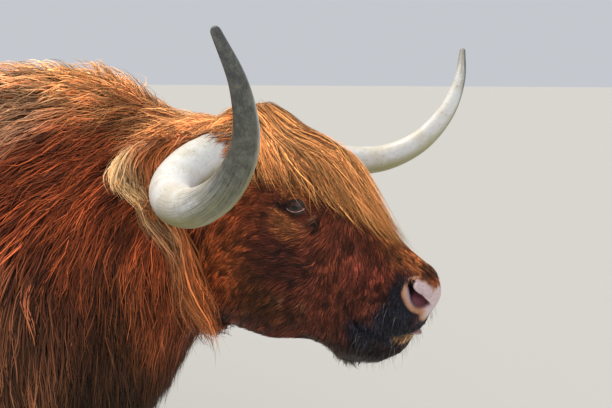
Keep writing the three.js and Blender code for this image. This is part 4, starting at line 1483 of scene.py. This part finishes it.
def make_eye(side_name, side):
    """An eyeball with its cornea standing a little proud."""
    middle, out, along, up = eye_axes(side)
    rings = []
    for polar in np.linspace(0.02, math.pi - 0.02, 48):
        cornea = 0.0012 * math.exp(-((polar / 0.55) ** 4))
        radius = EYE_RADIUS * MM + cornea
        round_it = np.array([math.cos(a) * along + math.sin(a) * up for a in turn(64)])
        rings.append(middle + radius * (math.sin(polar) * round_it + math.cos(polar) * out))
    points, faces = outward(*ring_surface(rings))
    piece = mesh_object(f"eyeball_{side_name}", points, faces, eye_material(side_name, side))
    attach(piece, "root")
    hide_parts(f"eye_{side_name}")


def lid_rim_material():
    """Moist pink skin at the edge of the lids and on the tongue."""
    values = {"Roughness": 0.32, "Coat Weight": 0.5, "Coat Roughness": 0.12}
    material, nodes, shader = new_material("moist_skin", values)
    cloud = nodes.noise(nodes.object_place(), 160.0, 3.0, 0.6)
    colour = nodes.mix(nodes.remap(cloud, 0.35, 0.65), srgb(170, 118, 112), srgb(206, 172, 164))
    nodes.put(shader.inputs["Base Color"], colour)
    nodes.put(shader.inputs["Normal"], nodes.bump(cloud, 0.3, 0.0006))
    return material


def lid_edge(along, height, way, radius):
    """The place on a lid's edge so many millimetres along the lid, in the head's axes with l outwards."""
    arc = (LID_HALF_LENGTH**2 + height**2) / (2 * height)
    flat = np.array((along, way * (math.sqrt(arc**2 - along**2) - (arc - height))))
    length = np.linalg.norm(flat)
    angle = length / (EYE_RADIUS + LID_THICKNESS)
    local = np.array((*(flat / max(length, 1e-9) * math.sin(angle)), math.cos(angle)))
    return EYE_MIDDLE + radius * local @ np.stack([EYE_ALONG, EYE_UP, EYE_OUT])


def make_lid_rim(side_name, side, moist):
    """The wet rim of the lower lid and the flesh in the eye's front corner."""
    rings = []
    shares = np.linspace(-1, 1, 40)
    line = [lid_edge(LID_HALF_LENGTH * 0.97 * u, LID_LOWER - 0.7, -1, EYE_RADIUS + 1.3) for u in shares]
    for u, place, way in zip(shares, line, unit(np.gradient(line, axis=0))):
        out = unit(place - EYE_MIDDLE)
        across = np.cross(way, out)
        radius = (0.7 + 1.3 * math.exp(-(((u - 0.86) / 0.1) ** 2))) * math.sqrt(max(0.02, 1 - abs(u) ** 12))
        rings.append([place + radius * (math.cos(a) * across + 0.8 * math.sin(a) * out) for a in turn(10)])
    points, faces = ring_surface(from_head(np.array(rings) * (1, side, 1)))
    piece = mesh_object(f"lid_rim_{side_name}", *outward(points, faces), moist)
    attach(piece, "root")


# ---------- lashes and whiskers ----------
def bristle_tree():
    """Thin tapering bristles on a mesh's points, each along its point's way and bent towards its droop."""
    sockets = {"Roots": "Geometry", "Thickness": "Float", "Bend": "Float", "Sides": "Int", "Seed": "Int"}
    sockets["Finish"] = "Material"
    tree, nodes, given, result = node_group("bristles", sockets, {"Bristles": "Geometry"}, "GeometryNodeTree")

    def made(kind, inputs, output=0, **settings):
        return nodes.add(kind, inputs, **settings).outputs[output]

    tip = nodes.combine(given["Bend"], 0.0, 0.92)
    bow = {"Resolution": 6, "Start": (0, 0, 0), "Middle": (0, 0, 0.5), "End": tip}
    along = made("GeometryNodeSplineParameter", {})
    outline = {"Resolution": given["Sides"], "Radius": given["Thickness"]}
    bristle = made("GeometryNodeCurveToMesh", {
        "Curve": made("GeometryNodeCurveQuadraticBezier", bow),
        "Profile Curve": made("GeometryNodeCurvePrimitiveCircle", outline),
        "Scale": nodes.math("SUBTRACT", 1.0, nodes.math("MULTIPLY", along, 0.9)),
        "Fill Caps": True,
    })
    way = made("GeometryNodeInputNamedAttribute", {"Name": "way"}, data_type="FLOAT_VECTOR")
    droop = made("GeometryNodeInputNamedAttribute", {"Name": "droop"}, data_type="FLOAT_VECTOR")
    reach = made("GeometryNodeInputNamedAttribute", {"Name": "reach"}, data_type="FLOAT")
    upright = made("FunctionNodeAlignRotationToVector", {"Vector": way}, axis="Z")
    lean = {"Rotation": upright, "Vector": droop}
    chance = made("FunctionNodeRandomValue", {2: 0.7, 3: 1.2, 8: given["Seed"]}, 1, data_type="FLOAT")
    placed = made("GeometryNodeInstanceOnPoints", {
        "Points": given["Roots"],
        "Instance": bristle,
        "Rotation": made("FunctionNodeAlignRotationToVector", lean, axis="X", pivot_axis="Z"),
        "Scale": nodes.math("MULTIPLY", reach, chance),
    })
    plain = made("GeometryNodeRealizeInstances", {"Geometry": placed})
    finish = {"Geometry": plain, "Material": given["Finish"]}
    nodes.put(result["Bristles"], made("GeometryNodeSetMaterial", finish))
    return tree


def make_bristles(name, tree, roots, ways, droops, reaches, thickness, bend, seed, material):
    """One mesh of bristles from the tree, as a plain mesh."""
    draft = mesh_object(f"{name}_roots", roots, [])
    add_attribute(draft.data, "way", ways)
    add_attribute(draft.data, "droop", droops)
    add_attribute(draft.data, "reach", reaches)
    growth = draft.modifiers.new("bristles", "NODES")
    growth.node_group = tree
    sockets = {item.name: item.identifier for item in tree.interface.items_tree if item.in_out == "INPUT"}
    values = {"Thickness": thickness, "Bend": bend, "Sides": 4, "Seed": seed, "Finish": material}
    for label, value in values.items():
        growth[sockets[label]] = value
    mesh = applied(draft)
    mesh.name = name
    piece = linked(name, mesh)
    smooth_faces(mesh)
    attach(piece, "root")


def bristle_material(name, dark, pale):
    """Stiff hair of two mixed colours."""
    material, nodes, shader = new_material(name, {"Roughness": 0.45})
    cloud = nodes.noise(nodes.object_place(), 90.0, 2.0)
    nodes.put(shader.inputs["Base Color"], nodes.mix(nodes.remap(cloud, 0.35, 0.65), dark, pale))
    return material


def make_lashes(tree, side_name, side, material):
    """Long lashes on the upper lid and short ones on the lower."""
    places, ways, droops, reaches = [], [], [], []
    for height, way, count, reach in ((LID_UPPER, 1, 46, 0.017), (LID_LOWER, -1, 18, 0.009)):
        for along in RNG.uniform(-0.9, 0.95, count) * LID_HALF_LENGTH:
            place = lid_edge(along, height, way, EYE_RADIUS + LID_THICKNESS)
            out = unit(place - EYE_MIDDLE)
            lean = out * 0.9 + EYE_UP * way * 0.35 + EYE_ALONG * (along / 40) + RNG.normal(0, 0.12, 3)
            places.append(place * (1, side, 1))
            ways.append(unit(lean) * (1, side, 1) @ HEAD)
            droops.append(DOWN)
            reaches.append(reach * (1.1 - 0.4 * abs(along) / LID_HALF_LENGTH))
    roots = from_head(np.array(places))
    make_bristles(f"lashes_{side_name}", tree, roots, ways, droops, reaches, 0.014, 0.5, 3, material)


def whisker_share(side):
    """The muzzle and the chin, away from the bare nose."""

    def share(p):
        h = to_head(p)
        n, l, t = h.T
        muzzle = ramp(n, 385, 405) * ramp(t, -52, -64) * (bare_nose(p) < 0.2)
        return muzzle * (np.sign(l) == side) * ramp(np.abs(l), 14, 26) * ramp(t, -225, -205)

    return share


def make_whiskers(tree, skin, name, side, count, reach, seed, material):
    """Stiff hairs round the muzzle, each standing out of the skin and bent down by its weight."""
    roots, normals = skin.scatter(count, whisker_share(side))
    ways = unit(normals * 0.8 + face_lie(roots) * 0.7 + RNG.normal(0, 0.16, roots.shape))
    droops = np.tile(DOWN, (count, 1)) + RNG.normal(0, 0.2, roots.shape)
    reaches = reach * RNG.uniform(0.6, 1.2, count)
    make_bristles(name, tree, roots, ways, droops, reaches, 0.008, 0.4, seed, material)


def solid_copy(node):
    """A solid's mesh to edit, with each shared corner held once."""
    edit = bmesh.new()
    edit.from_mesh(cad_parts[node].data)
    bmesh.ops.remove_doubles(edit, verts=edit.verts, dist=1e-5)
    return edit


def make_rounded(name, edit, material, node):
    """An edited mesh smoothed into the piece that replaces a node."""
    mesh = bpy.data.meshes.new(name)
    edit.to_mesh(mesh)
    edit.free()
    draft = linked(f"{name}_draft", mesh)
    rounding = draft.modifiers.new("rounding", "SUBSURF")
    rounding.levels = rounding.render_levels = 2
    done = applied(draft)
    done.materials.clear()
    piece = linked(name, done, material)
    smooth_faces(done)
    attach(piece, "root")
    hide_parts(node)


def make_tongue(moist):
    """The tip of the tongue, rounded from its solid and moved into the open lips."""
    edit = solid_copy("tongue")
    bmesh.ops.translate(edit, verts=edit.verts, vec=(5 * AXIS_N + 7 * AXIS_T) * MM)
    make_rounded("tongue_tip", edit, moist, "tongue")


def hoof_material():
    """Dark horn in level layers, grained upwards and worn pale at the ground."""
    material, nodes, shader = new_material("hoof", {})
    place = nodes.object_place()
    layers = nodes.noise(place, 1.0, 3.0, stretch=(30.0, 30.0, 420.0))
    grain = nodes.noise(place, 1.0, 3.0, stretch=(500.0, 500.0, 60.0))
    colour = nodes.mix(nodes.remap(layers, 0.35, 0.65), srgb(58, 52, 48), srgb(96, 86, 76))
    height = nodes.separate(place)[2]
    colour = nodes.mix(nodes.remap(height, 0.02, 0.0, 0.0, 0.55), colour, srgb(128, 112, 92))
    colour = nodes.mix(nodes.remap(grain, 0.5, 0.7, 0.0, 0.4), colour, srgb(40, 36, 34))
    nodes.put(shader.inputs["Base Color"], colour)
    nodes.put(shader.inputs["Roughness"], nodes.remap(grain, 0.3, 0.7, 0.4, 0.6))
    relief = nodes.math("ADD", layers, nodes.math("MULTIPLY", grain, 0.5))
    nodes.put(shader.inputs["Normal"], nodes.bump(relief, 0.5, 0.001))
    return material


def make_hooves():
    """Eight claws, rounded from their solids, with the edge of the sole kept."""
    horny = hoof_material()
    for name in [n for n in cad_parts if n.startswith("hoof_")]:
        edit = solid_copy(name)
        sole = min(v.co.z for v in edit.verts)
        crease = edit.edges.layers.float.new("crease_edge")
        for e in edit.edges:
            if all(v.co.z < sole + 1e-4 for v in e.verts):
                e[crease] = 0.85
        make_rounded(name.replace("hoof", "claw"), edit, horny, name)


# ---------- the coat, piece by piece ----------
SIDES = (("right", -1), ("left", 1))


def everywhere(value):
    """The same number at every place."""

    def give(p):
        return np.full(len(p), value)

    return give


def leg_share(p):
    x, y, z = from_feet(p)
    near = [ramp(np.hypot(x - leg_x, (np.abs(y) - leg_y) * 1.4), 0.23, 0.15) for leg_x, leg_y in LEGS]
    return np.maximum(*near) * ramp(z, 0.62, 0.56)


def head_side(p):
    """-1 to the right of the head's middle and 1 to its left."""
    return np.sign((p - POLL) @ AXIS_L)


def from_ear(p):
    """From the root of the ear on each place's side: how far along it, towards its open face, and up."""
    both = []
    for _, side in SIDES:
        root, along, face = ear_axes(side)
        away = p - root
        both.append((away @ along, away @ face, away[:, 2]))
    return np.where(head_side(p) < 0, *both)


def in_ear(p):
    """The side, -1 or 1, on the ears' leaves and 0 elsewhere."""
    s, f, z = from_ear(p)
    return head_side(p) * ((s > 0.022) & (s < 0.23) & (abs(f) < 0.045) & (abs(z + 0.1 * s) < 0.075))


def ear_share(side):
    def share(p):
        return in_ear(p) == side

    return share


def in_tail(p):
    x, y, z = from_feet(p)
    off = off_line(np.column_stack([x, z]), TAIL_LINE)
    return (off < 0.034) & (np.abs(y) < 0.034) & (x < -1.17)


def ear_lie(p):
    """Out along the ear, more and more downwards."""
    _, _, z = from_ear(p)
    low = ramp(z, 0.03, -0.05)[:, None]
    both = []
    for _, side in SIDES:
        _, along, face = ear_axes(side)
        both.append(along * (1 - 0.8 * low) + DOWN * (0.15 + low) + face * 0.15)
    way = np.where(head_side(p)[:, None] < 0, *both)
    way[:, 0] += 0.15 * ripple(p, 0.08, 41)
    return unit(way)


def ear_length(p):
    """Short on the leaf, and long on its lower edge near the head."""
    s, _, z = from_ear(p)
    longest = np.random.default_rng(17).random(len(p)) < 0.12
    inner = (0.13 - 0.4 * s) + np.where(longest, 0.06, 0) * ramp(s, 0.14, 0.06)
    return 0.065 + inner * ramp(z, -0.005, -0.035) + 0.02 * ramp(s, 0.12, 0.19)


def ear_lock_share(side):
    """The lower edge of an ear's inner half, where the long locks hang from."""

    def share(p):
        s, _, z = from_ear(p)
        return (in_ear(p) == side) * ramp(s, 0.085, 0.125) * ramp(s, 0.178, 0.155) * ramp(z, 0.0, -0.015)

    return share


def ear_lock_lie(p):
    """Down, forwards and in towards the neck."""
    inwards = -head_side(p)[:, None] * AXIS_L
    way = DOWN + (0.27 + 0.24 * ripple(p, 0.11, 44))[:, None] * HEADWARD
    return unit(way + 0.28 * inwards + 0.16 * ripple(p, 0.09, 45)[:, None] * AXIS_L)


def ear_hang(p):
    """Heavy on the lower edge, lighter on the upper one."""
    _, _, z = from_ear(p)
    return 0.9 - 0.5 * ramp(z, -0.02, 0.03)


def crest_share(p):
    """Behind the horns, along the top of the neck."""
    x, _, z = from_feet(p)
    return ramp(x, 0.16, 0.26) * ramp(x, 0.43, 0.38) * ramp(z, 1.08, 1.13) * (in_ear(p) == 0)


def crest_lie(p):
    """Back and down over the side of the neck, in curls."""
    way = np.tile(np.array((-0.8, 0.0, -0.42)), (len(p), 1))
    way[:, 1] = 0.5 * np.tanh(off_middle(p) / 0.03)
    way[:, 0] += 0.34 * ripple(p, 0.16, 51)
    way[:, 2] += 0.34 * ripple(p, 0.15, 52)
    return unit(way)


def crest_lay(p):
    x, _, z = from_feet(p)
    return 0.026 + 0.048 * ramp(x, 0.41, 0.34) * ramp(z, 1.10, 1.16)


def tail_length(p):
    _, _, z = from_feet(p)
    return 0.075 + 0.2 * ramp(z, 0.78, 0.62)


def body_share(side, start, end):
    """A stretch of the body on one side, between two places in x from FEET."""

    def share(p):
        x, y, z = from_feet(p)
        within = (x > start) & (x <= end) & (np.sign(off_middle(p)) == side)
        bag = (np.hypot(x - UDDER_X, y) < 0.15) & (z < 0.54)
        return within * (1 - in_head(p)) * (1 - leg_share(p)) * (in_ear(p) == 0) * ~in_tail(p) * ~bag

    return share


def in_throat(p):
    """1 on the lower side of the neck, where the hair is short and hangs lightly."""
    x, _, z = from_feet(p)
    return ramp(x, 0.28, 0.38) * ramp(z, 0.86, 0.76)


def hair_length(p):
    """Longest on the sides of the neck and the trunk."""
    x, _, z = from_feet(p)
    length = 0.15 + 0.05 * ramp(z, 0.95, 0.7)
    length = length - 0.035 * ramp(z, 1.12, 1.22) - 0.03 * ramp(x, -0.1, 0.1) * ramp(z, 0.85, 1.0)
    length = length + 0.03 * ramp(x, 0.0, 0.2) * ramp(z, 1.1, 0.9)
    length = length * (1 - 0.35 * ramp(x, -0.9, -1.15))
    poll = ramp(x, 0.30, 0.38) * ramp(z, 1.04, 1.10)
    low = ramp(z, 0.6, 0.5)
    return length * (1 - 0.45 * low) * (1 - 0.75 * in_throat(p)) * (1 - 0.35 * poll)


def hang(p):
    """Heavier towards the belly."""
    _, _, z = from_feet(p)
    return (0.15 + 0.75 * ramp(z, 0.95, 0.62)) * (1 - 0.75 * in_throat(p))


def body_lay(p):
    """How far above the skin the longest hair lies: more along the ridge of the neck, less on the chest."""
    x, _, z = from_feet(p)
    ridge = ramp(z, 1.10, 1.17) * ramp(x, -0.3, -0.1) * ramp(x, 0.43, 0.36)
    return coat_depth(p) + 0.012 * ridge - 0.032 * in_chest(p)


def leg_length(p):
    """Longer behind the leg and higher up, and clear of the ground."""
    x, _, z = from_feet(p)
    back = x - np.where(x > MIDWAY, LEGS[0][0], LEGS[1][0])
    length = 0.055 + 0.035 * ramp(back, 0.0, -0.05) + 0.03 * ramp(z, 0.3, 0.5)
    return np.minimum(length, np.maximum(0.02, z - 0.028))


def face_share(side):
    """One side of the head, away from the nose, the lids and the lips, and denser on the muzzle."""

    def share(p):
        h = to_head(p)
        _, _, edge, _ = lid_places(h)
        lids = (edge < 3.2) & (np.abs(h[:, 1]) > BESIDE_NOSE)
        _, slit, _, _ = nostril_and_mouth(h)
        open_skin = (bare_nose(p) < 0.3) & ~lids & (slit < 0.4)
        denser = 1 + 0.8 * ramp(h[:, 0], 250, 380)
        return (in_head(p) > 0.02) * (np.sign(h[:, 1]) == side) * open_skin * (in_ear(p) == 0) * denser

    return share


def beard(p):
    """1 on the chin, where the short coat grows long."""
    n, _, t = to_head(p).T
    return ramp(n, 352, 385) * ramp(t, -160, -180)


def face_length(p):
    n, _, t = to_head(p).T
    eye = ramp(np.hypot(n - EYE_MIDDLE[0], t - EYE_MIDDLE[2]), 60, 22)
    length = 0.030 - 0.014 * ramp(n, 300, 430)
    length = length + 0.014 * ramp(n, 60, -30) + 0.008 * ramp(t, -200, -250)
    return length * (1 - 0.55 * eye) + (0.024 + 0.02 * ramp(t, -205, -235)) * beard(p)


def face_lay(p):
    n, _, _ = to_head(p).T
    return 0.0045 - 0.002 * ramp(n, 300, 430) + 0.006 * ramp(n, 60, -30) + 0.004 * beard(p)


def face_hang(p):
    _, _, t = to_head(p).T
    return 0.6 * beard(p) + 0.25 * ramp(t, -210, -260)


FORELOCK_HALF = 85  # half its width, in the head's axes


def forelock_share(p):
    """The top of the head, from the poll to the brow."""
    n, l, t = to_head(p).T
    return ramp(n, -40, -18) * ramp(n, 110, 60) * (np.abs(l) < 88) * ramp(t, -12, 12) * (in_ear(p) == 0)


def settling(*given):
    """Hairs grown so that their tips come down onto what is below them."""
    return grown(*given, settle=0.6)


def forelock_lie(p):
    """Down the face, fanned out over the temples and drawn together on the nose."""
    n, l, _ = to_head(p).T
    side = l / FORELOCK_HALF
    off = np.abs(side)
    fan = 0.30 * ramp(n, 110, 0) + 0.62 * ramp(off, 0.4, 1.0) * ramp(n, 120, 20) - 0.12 * ramp(n, 180, 300)
    out = np.clip(side, -1.2, 1.2) * fan
    way = np.column_stack([np.ones(len(n)), out, -0.10 - 0.35 * ramp(off, 0.6, 1.2)])
    way[:, 1] += 0.12 * ripple(p, 0.14, 31) + 0.07 * ripple(p, 0.05, 32)
    return unit(unit(way) @ HEAD)


def forelock_length(p):
    n, l, _ = to_head(p).T
    return 0.37 - 0.0016 * np.abs(l) - 0.0009 * n


def forelock_lay(p):
    """Thickest over the forehead, thinner at the poll and the sides."""
    n, l, _ = to_head(p).T
    return (0.019 + 0.010 * ramp(n, -45, 5) + 0.018 * ramp(n, -10, 90)) * (1 - 0.35 * ramp(np.abs(l), 30, 90))


def forelock_hang(p):
    _, l, _ = to_head(p).T
    return 0.05 + 0.16 * ramp(np.abs(l), 60, 110)


# The forelock's lower edge on the side of the head, n and t, how far out it reaches on the nose, n and l, and
# how far down the nose.
FORELOCK_EDGE = np.array((
    (-40, -10), (40, -42), (72, -46), (97, -30), (122, -2), (157, 22), (190, 22), (243, 12),
), float)
FORELOCK_SIDE = np.array(((225, 110), (243, 62), (280, 42), (314, 33), (364, 20), (395, 12)), float)
FORELOCK_TIP = 372


def forelock_room(p):
    """How far the forelock may still run, in millimetres, before it would hang over the eye."""
    n, l, t = to_head(p).T
    low = t - np.interp(n, FORELOCK_EDGE[:, 0], FORELOCK_EDGE[:, 1]) + 60 * ramp(np.abs(l), 60, 35)
    beside = np.interp(n, FORELOCK_SIDE[:, 0], FORELOCK_SIDE[:, 1]) - np.abs(l)
    return np.minimum(np.minimum(low, beside), FORELOCK_TIP - n)


# ---------- light, floor and camera ----------
CAMERA_FROM_FEET = np.array((0.746, -1.571, 1.260))
CAMERA_AHEAD = unit(np.array((-0.1368, 0.9731, -0.1855)))
LENS_MM = 47.06
FLOOR_SIZE = 60.0


def look_at(thing, place, ahead):
    """Puts a lamp or camera in a place, level, and points it ahead."""
    right = unit(np.cross(ahead, (0, 0, 1)))
    up = np.cross(right, ahead)
    aim = Matrix(np.stack([right, up, -ahead], 1).tolist())
    thing.matrix_world = Matrix.Translation(Vector(place)) @ aim.to_4x4()


def add_camera():
    data = bpy.data.cameras.new("camera")
    data.lens = LENS_MM
    data.sensor_width = 36
    data.clip_end = 200
    camera = linked("camera", data)
    look_at(camera, FEET + CAMERA_FROM_FEET, CAMERA_AHEAD)
    bpy.context.scene.camera = camera


def add_sun(name, from_way, softness, strength, colour):
    data = bpy.data.lights.new(name, "SUN")
    data.angle = math.radians(softness)
    data.energy = strength
    data.color = colour
    lamp = linked(name, data)
    look_at(lamp, FEET + np.array(from_way), -unit(np.array(from_way, float)))


def add_studio():
    """A wide pale floor, a soft sky, and two soft lamps."""
    half = FLOOR_SIZE / 2
    values = {"Base Color": (0.46, 0.47, 0.465, 1), "Roughness": 1.0, "Specular IOR Level": 0.0}
    material, _, _ = new_material("pale_floor", values)
    corners = [(-half, -half, 0), (half, -half, 0), (half, half, 0), (-half, half, 0)]
    floor = mesh_object("floor", corners, [(0, 1, 2, 3)], material)
    world = bpy.data.worlds.new("soft_sky")
    world.use_nodes = True
    background = world.node_tree.nodes["Background"]
    background.inputs["Color"].default_value = (0.90, 0.94, 1.0, 1)
    background.inputs["Strength"].default_value = 0.62
    bpy.context.scene.world = world
    add_sun("back_key", (-1.7, 1.2, 3.4), 22, 2.9, (1.0, 0.89, 0.74))
    add_sun("front_fill", (1.2, -3.2, 2.6), 60, 0.8, (1.0, 0.97, 0.92))


# ---------- the whole animal ----------
# Name, start and end in x from FEET, rings in each tuft, and number and width of the tufts, right and left.
BODY_COATS = (
    ("neck", 0.12, 1.0, 6, (7000, 4200), (0.0036, 0.0044)),
    ("shoulder", -0.18, 0.12, 6, (3700, 2700), (0.0042, 0.0048)),
    ("flank", -0.72, -0.18, 5, (3300, 3300), (0.0048, 0.0048)),
    ("rump", -1.4, -0.72, 5, (3000, 3000), (0.0048, 0.0048)),
)
FACE_TUFTS = (16500, 11000)

markings = markings_group(patch_group(), head_place_group())
long_hair = coat_material("long_hair", markings, 0.40, 1.45, 0.08, per_lock=(0.32, 1.75))
ear_hair = coat_material("ear_hair", markings, 0.9, 1.0, 0.95, 1.0, srgb(184, 106, 58), 0.0, (0.3, 1.9))
fringe_hair = coat_material("fringe_hair", markings, 0.8, 1.2, 0.12, 0.5)
face_hair = coat_material("face_hair", markings, 0.6, 1.35, 0.02, 0.9, per_lock=(0.32, 1.75))
lock_hair = coat_material("lock_hair", markings, 0.55, 1.25, 0.36, per_lock=(0.4, 1.75))
crest_hair = coat_material("crest_hair", markings, 0.5, 1.25, 0.5, tip_from=0.15, per_lock=(0.35, 1.6))

skin = refined_skin()
join(skin, [ear_leaf(-1), ear_leaf(1), tail_core(), *teats()])
skin.data.materials.append(skin_material(markings))
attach(skin, "root")
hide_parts(*FLESH, "ear_right", "ear_left", "tail")


def make_coats(grow):
    """Every long and short coat, grown from the skin; the order keeps the random draws alike."""
    body, head = grow.body_field, grow.head_field
    for name, start, end, rings, counts, widths in BODY_COATS:
        for (side_name, side), count, wide in zip(SIDES, counts, widths):
            coat(
                f"coat_{name}_{side_name}", grow, body_share(side, start, end), count, hair_length, body_lay,
                hang, body, coat_lie, wide, rings, body_unwrap, long_hair, clump=0.8, wave=0.006,
            )
    coat(
        "coat_crest", grow, crest_share, 1150, everywhere(0.15), crest_lay, everywhere(0.0), body, crest_lie,
        0.0030, 8, body_unwrap, crest_hair, clump=0.85, wave=0.008,
    )
    coat(
        "coat_legs", grow, leg_share, 4200, leg_length, coat_depth, hang, body, coat_lie,
        0.0045, 4, leg_unwrap, long_hair, clump=0.5, wave=0.001,
    )
    for (side_name, side), count in zip(SIDES, FACE_TUFTS):
        coat(
            f"coat_face_{side_name}", grow, face_share(side), count, face_length, face_lay, face_hang, head,
            coat_lie, 0.002, 3, head_unwrap, face_hair, clump=0.6, wave=0.002, locks=0.08,
        )
    forelock = coat(
        "coat_forelock", grow, forelock_share, 4150, forelock_length, forelock_lay, forelock_hang, head,
        forelock_lie, 0.0031, 8, head_unwrap, lock_hair,
        clump=0.88, wave=0.009, room=forelock_room, drawn=settling, locks=0.06,
    )
    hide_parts("forelock")
    for side_name, side in SIDES:
        coat(
            f"coat_ear_locks_{side_name}", grow, ear_lock_share(side), 230, everywhere(0.33),
            everywhere(0.042), everywhere(0.0), body, ear_lock_lie, 0.0031, 11, across_unwrap, ear_hair,
            clump=0.65, wave=0.011, drawn=fallen,
        )
        coat(
            f"coat_ear_{side_name}", grow, ear_share(side), 1100, ear_length, everywhere(0.018), ear_hang,
            body, ear_lie, 0.0033, 8, across_unwrap, fringe_hair, clump=0.7, wave=0.003,
        )
    tail = coat(
        "coat_tail", grow, in_tail, 1000, tail_length, everywhere(0.02), everywhere(0.9), body, coat_lie,
        0.005, 6, across_unwrap, long_hair, clump=0.6, wave=0.006,
    )
    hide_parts("tail_switch")


grow = Skin(skin)
make_coats(grow)
for side_name, side in SIDES:
    make_horn(side_name, side)
    make_horn_fur(side_name, side, lock_hair)
    make_eye(side_name, side)
make_hooves()
moist = lid_rim_material()
bristles = bristle_tree()
lash_black = bristle_material("lash", srgb(22, 16, 14), srgb(50, 36, 30))
whisker_pale = bristle_material("whisker", srgb(120, 114, 112), srgb(176, 170, 168))
for side_name, side in SIDES:
    make_lid_rim(side_name, side, moist)
    make_lashes(bristles, side_name, side, lash_black)
    make_whiskers(bristles, grow, f"whiskers_{side_name}", side, 46, 0.028, 7, whisker_pale)
    make_whiskers(bristles, grow, f"muzzle_hairs_{side_name}", side, 240, 0.026, 9, lash_black)
make_tongue(moist)

add_studio()
bpy.context.scene.view_settings.view_transform = "Standard"
add_camera()
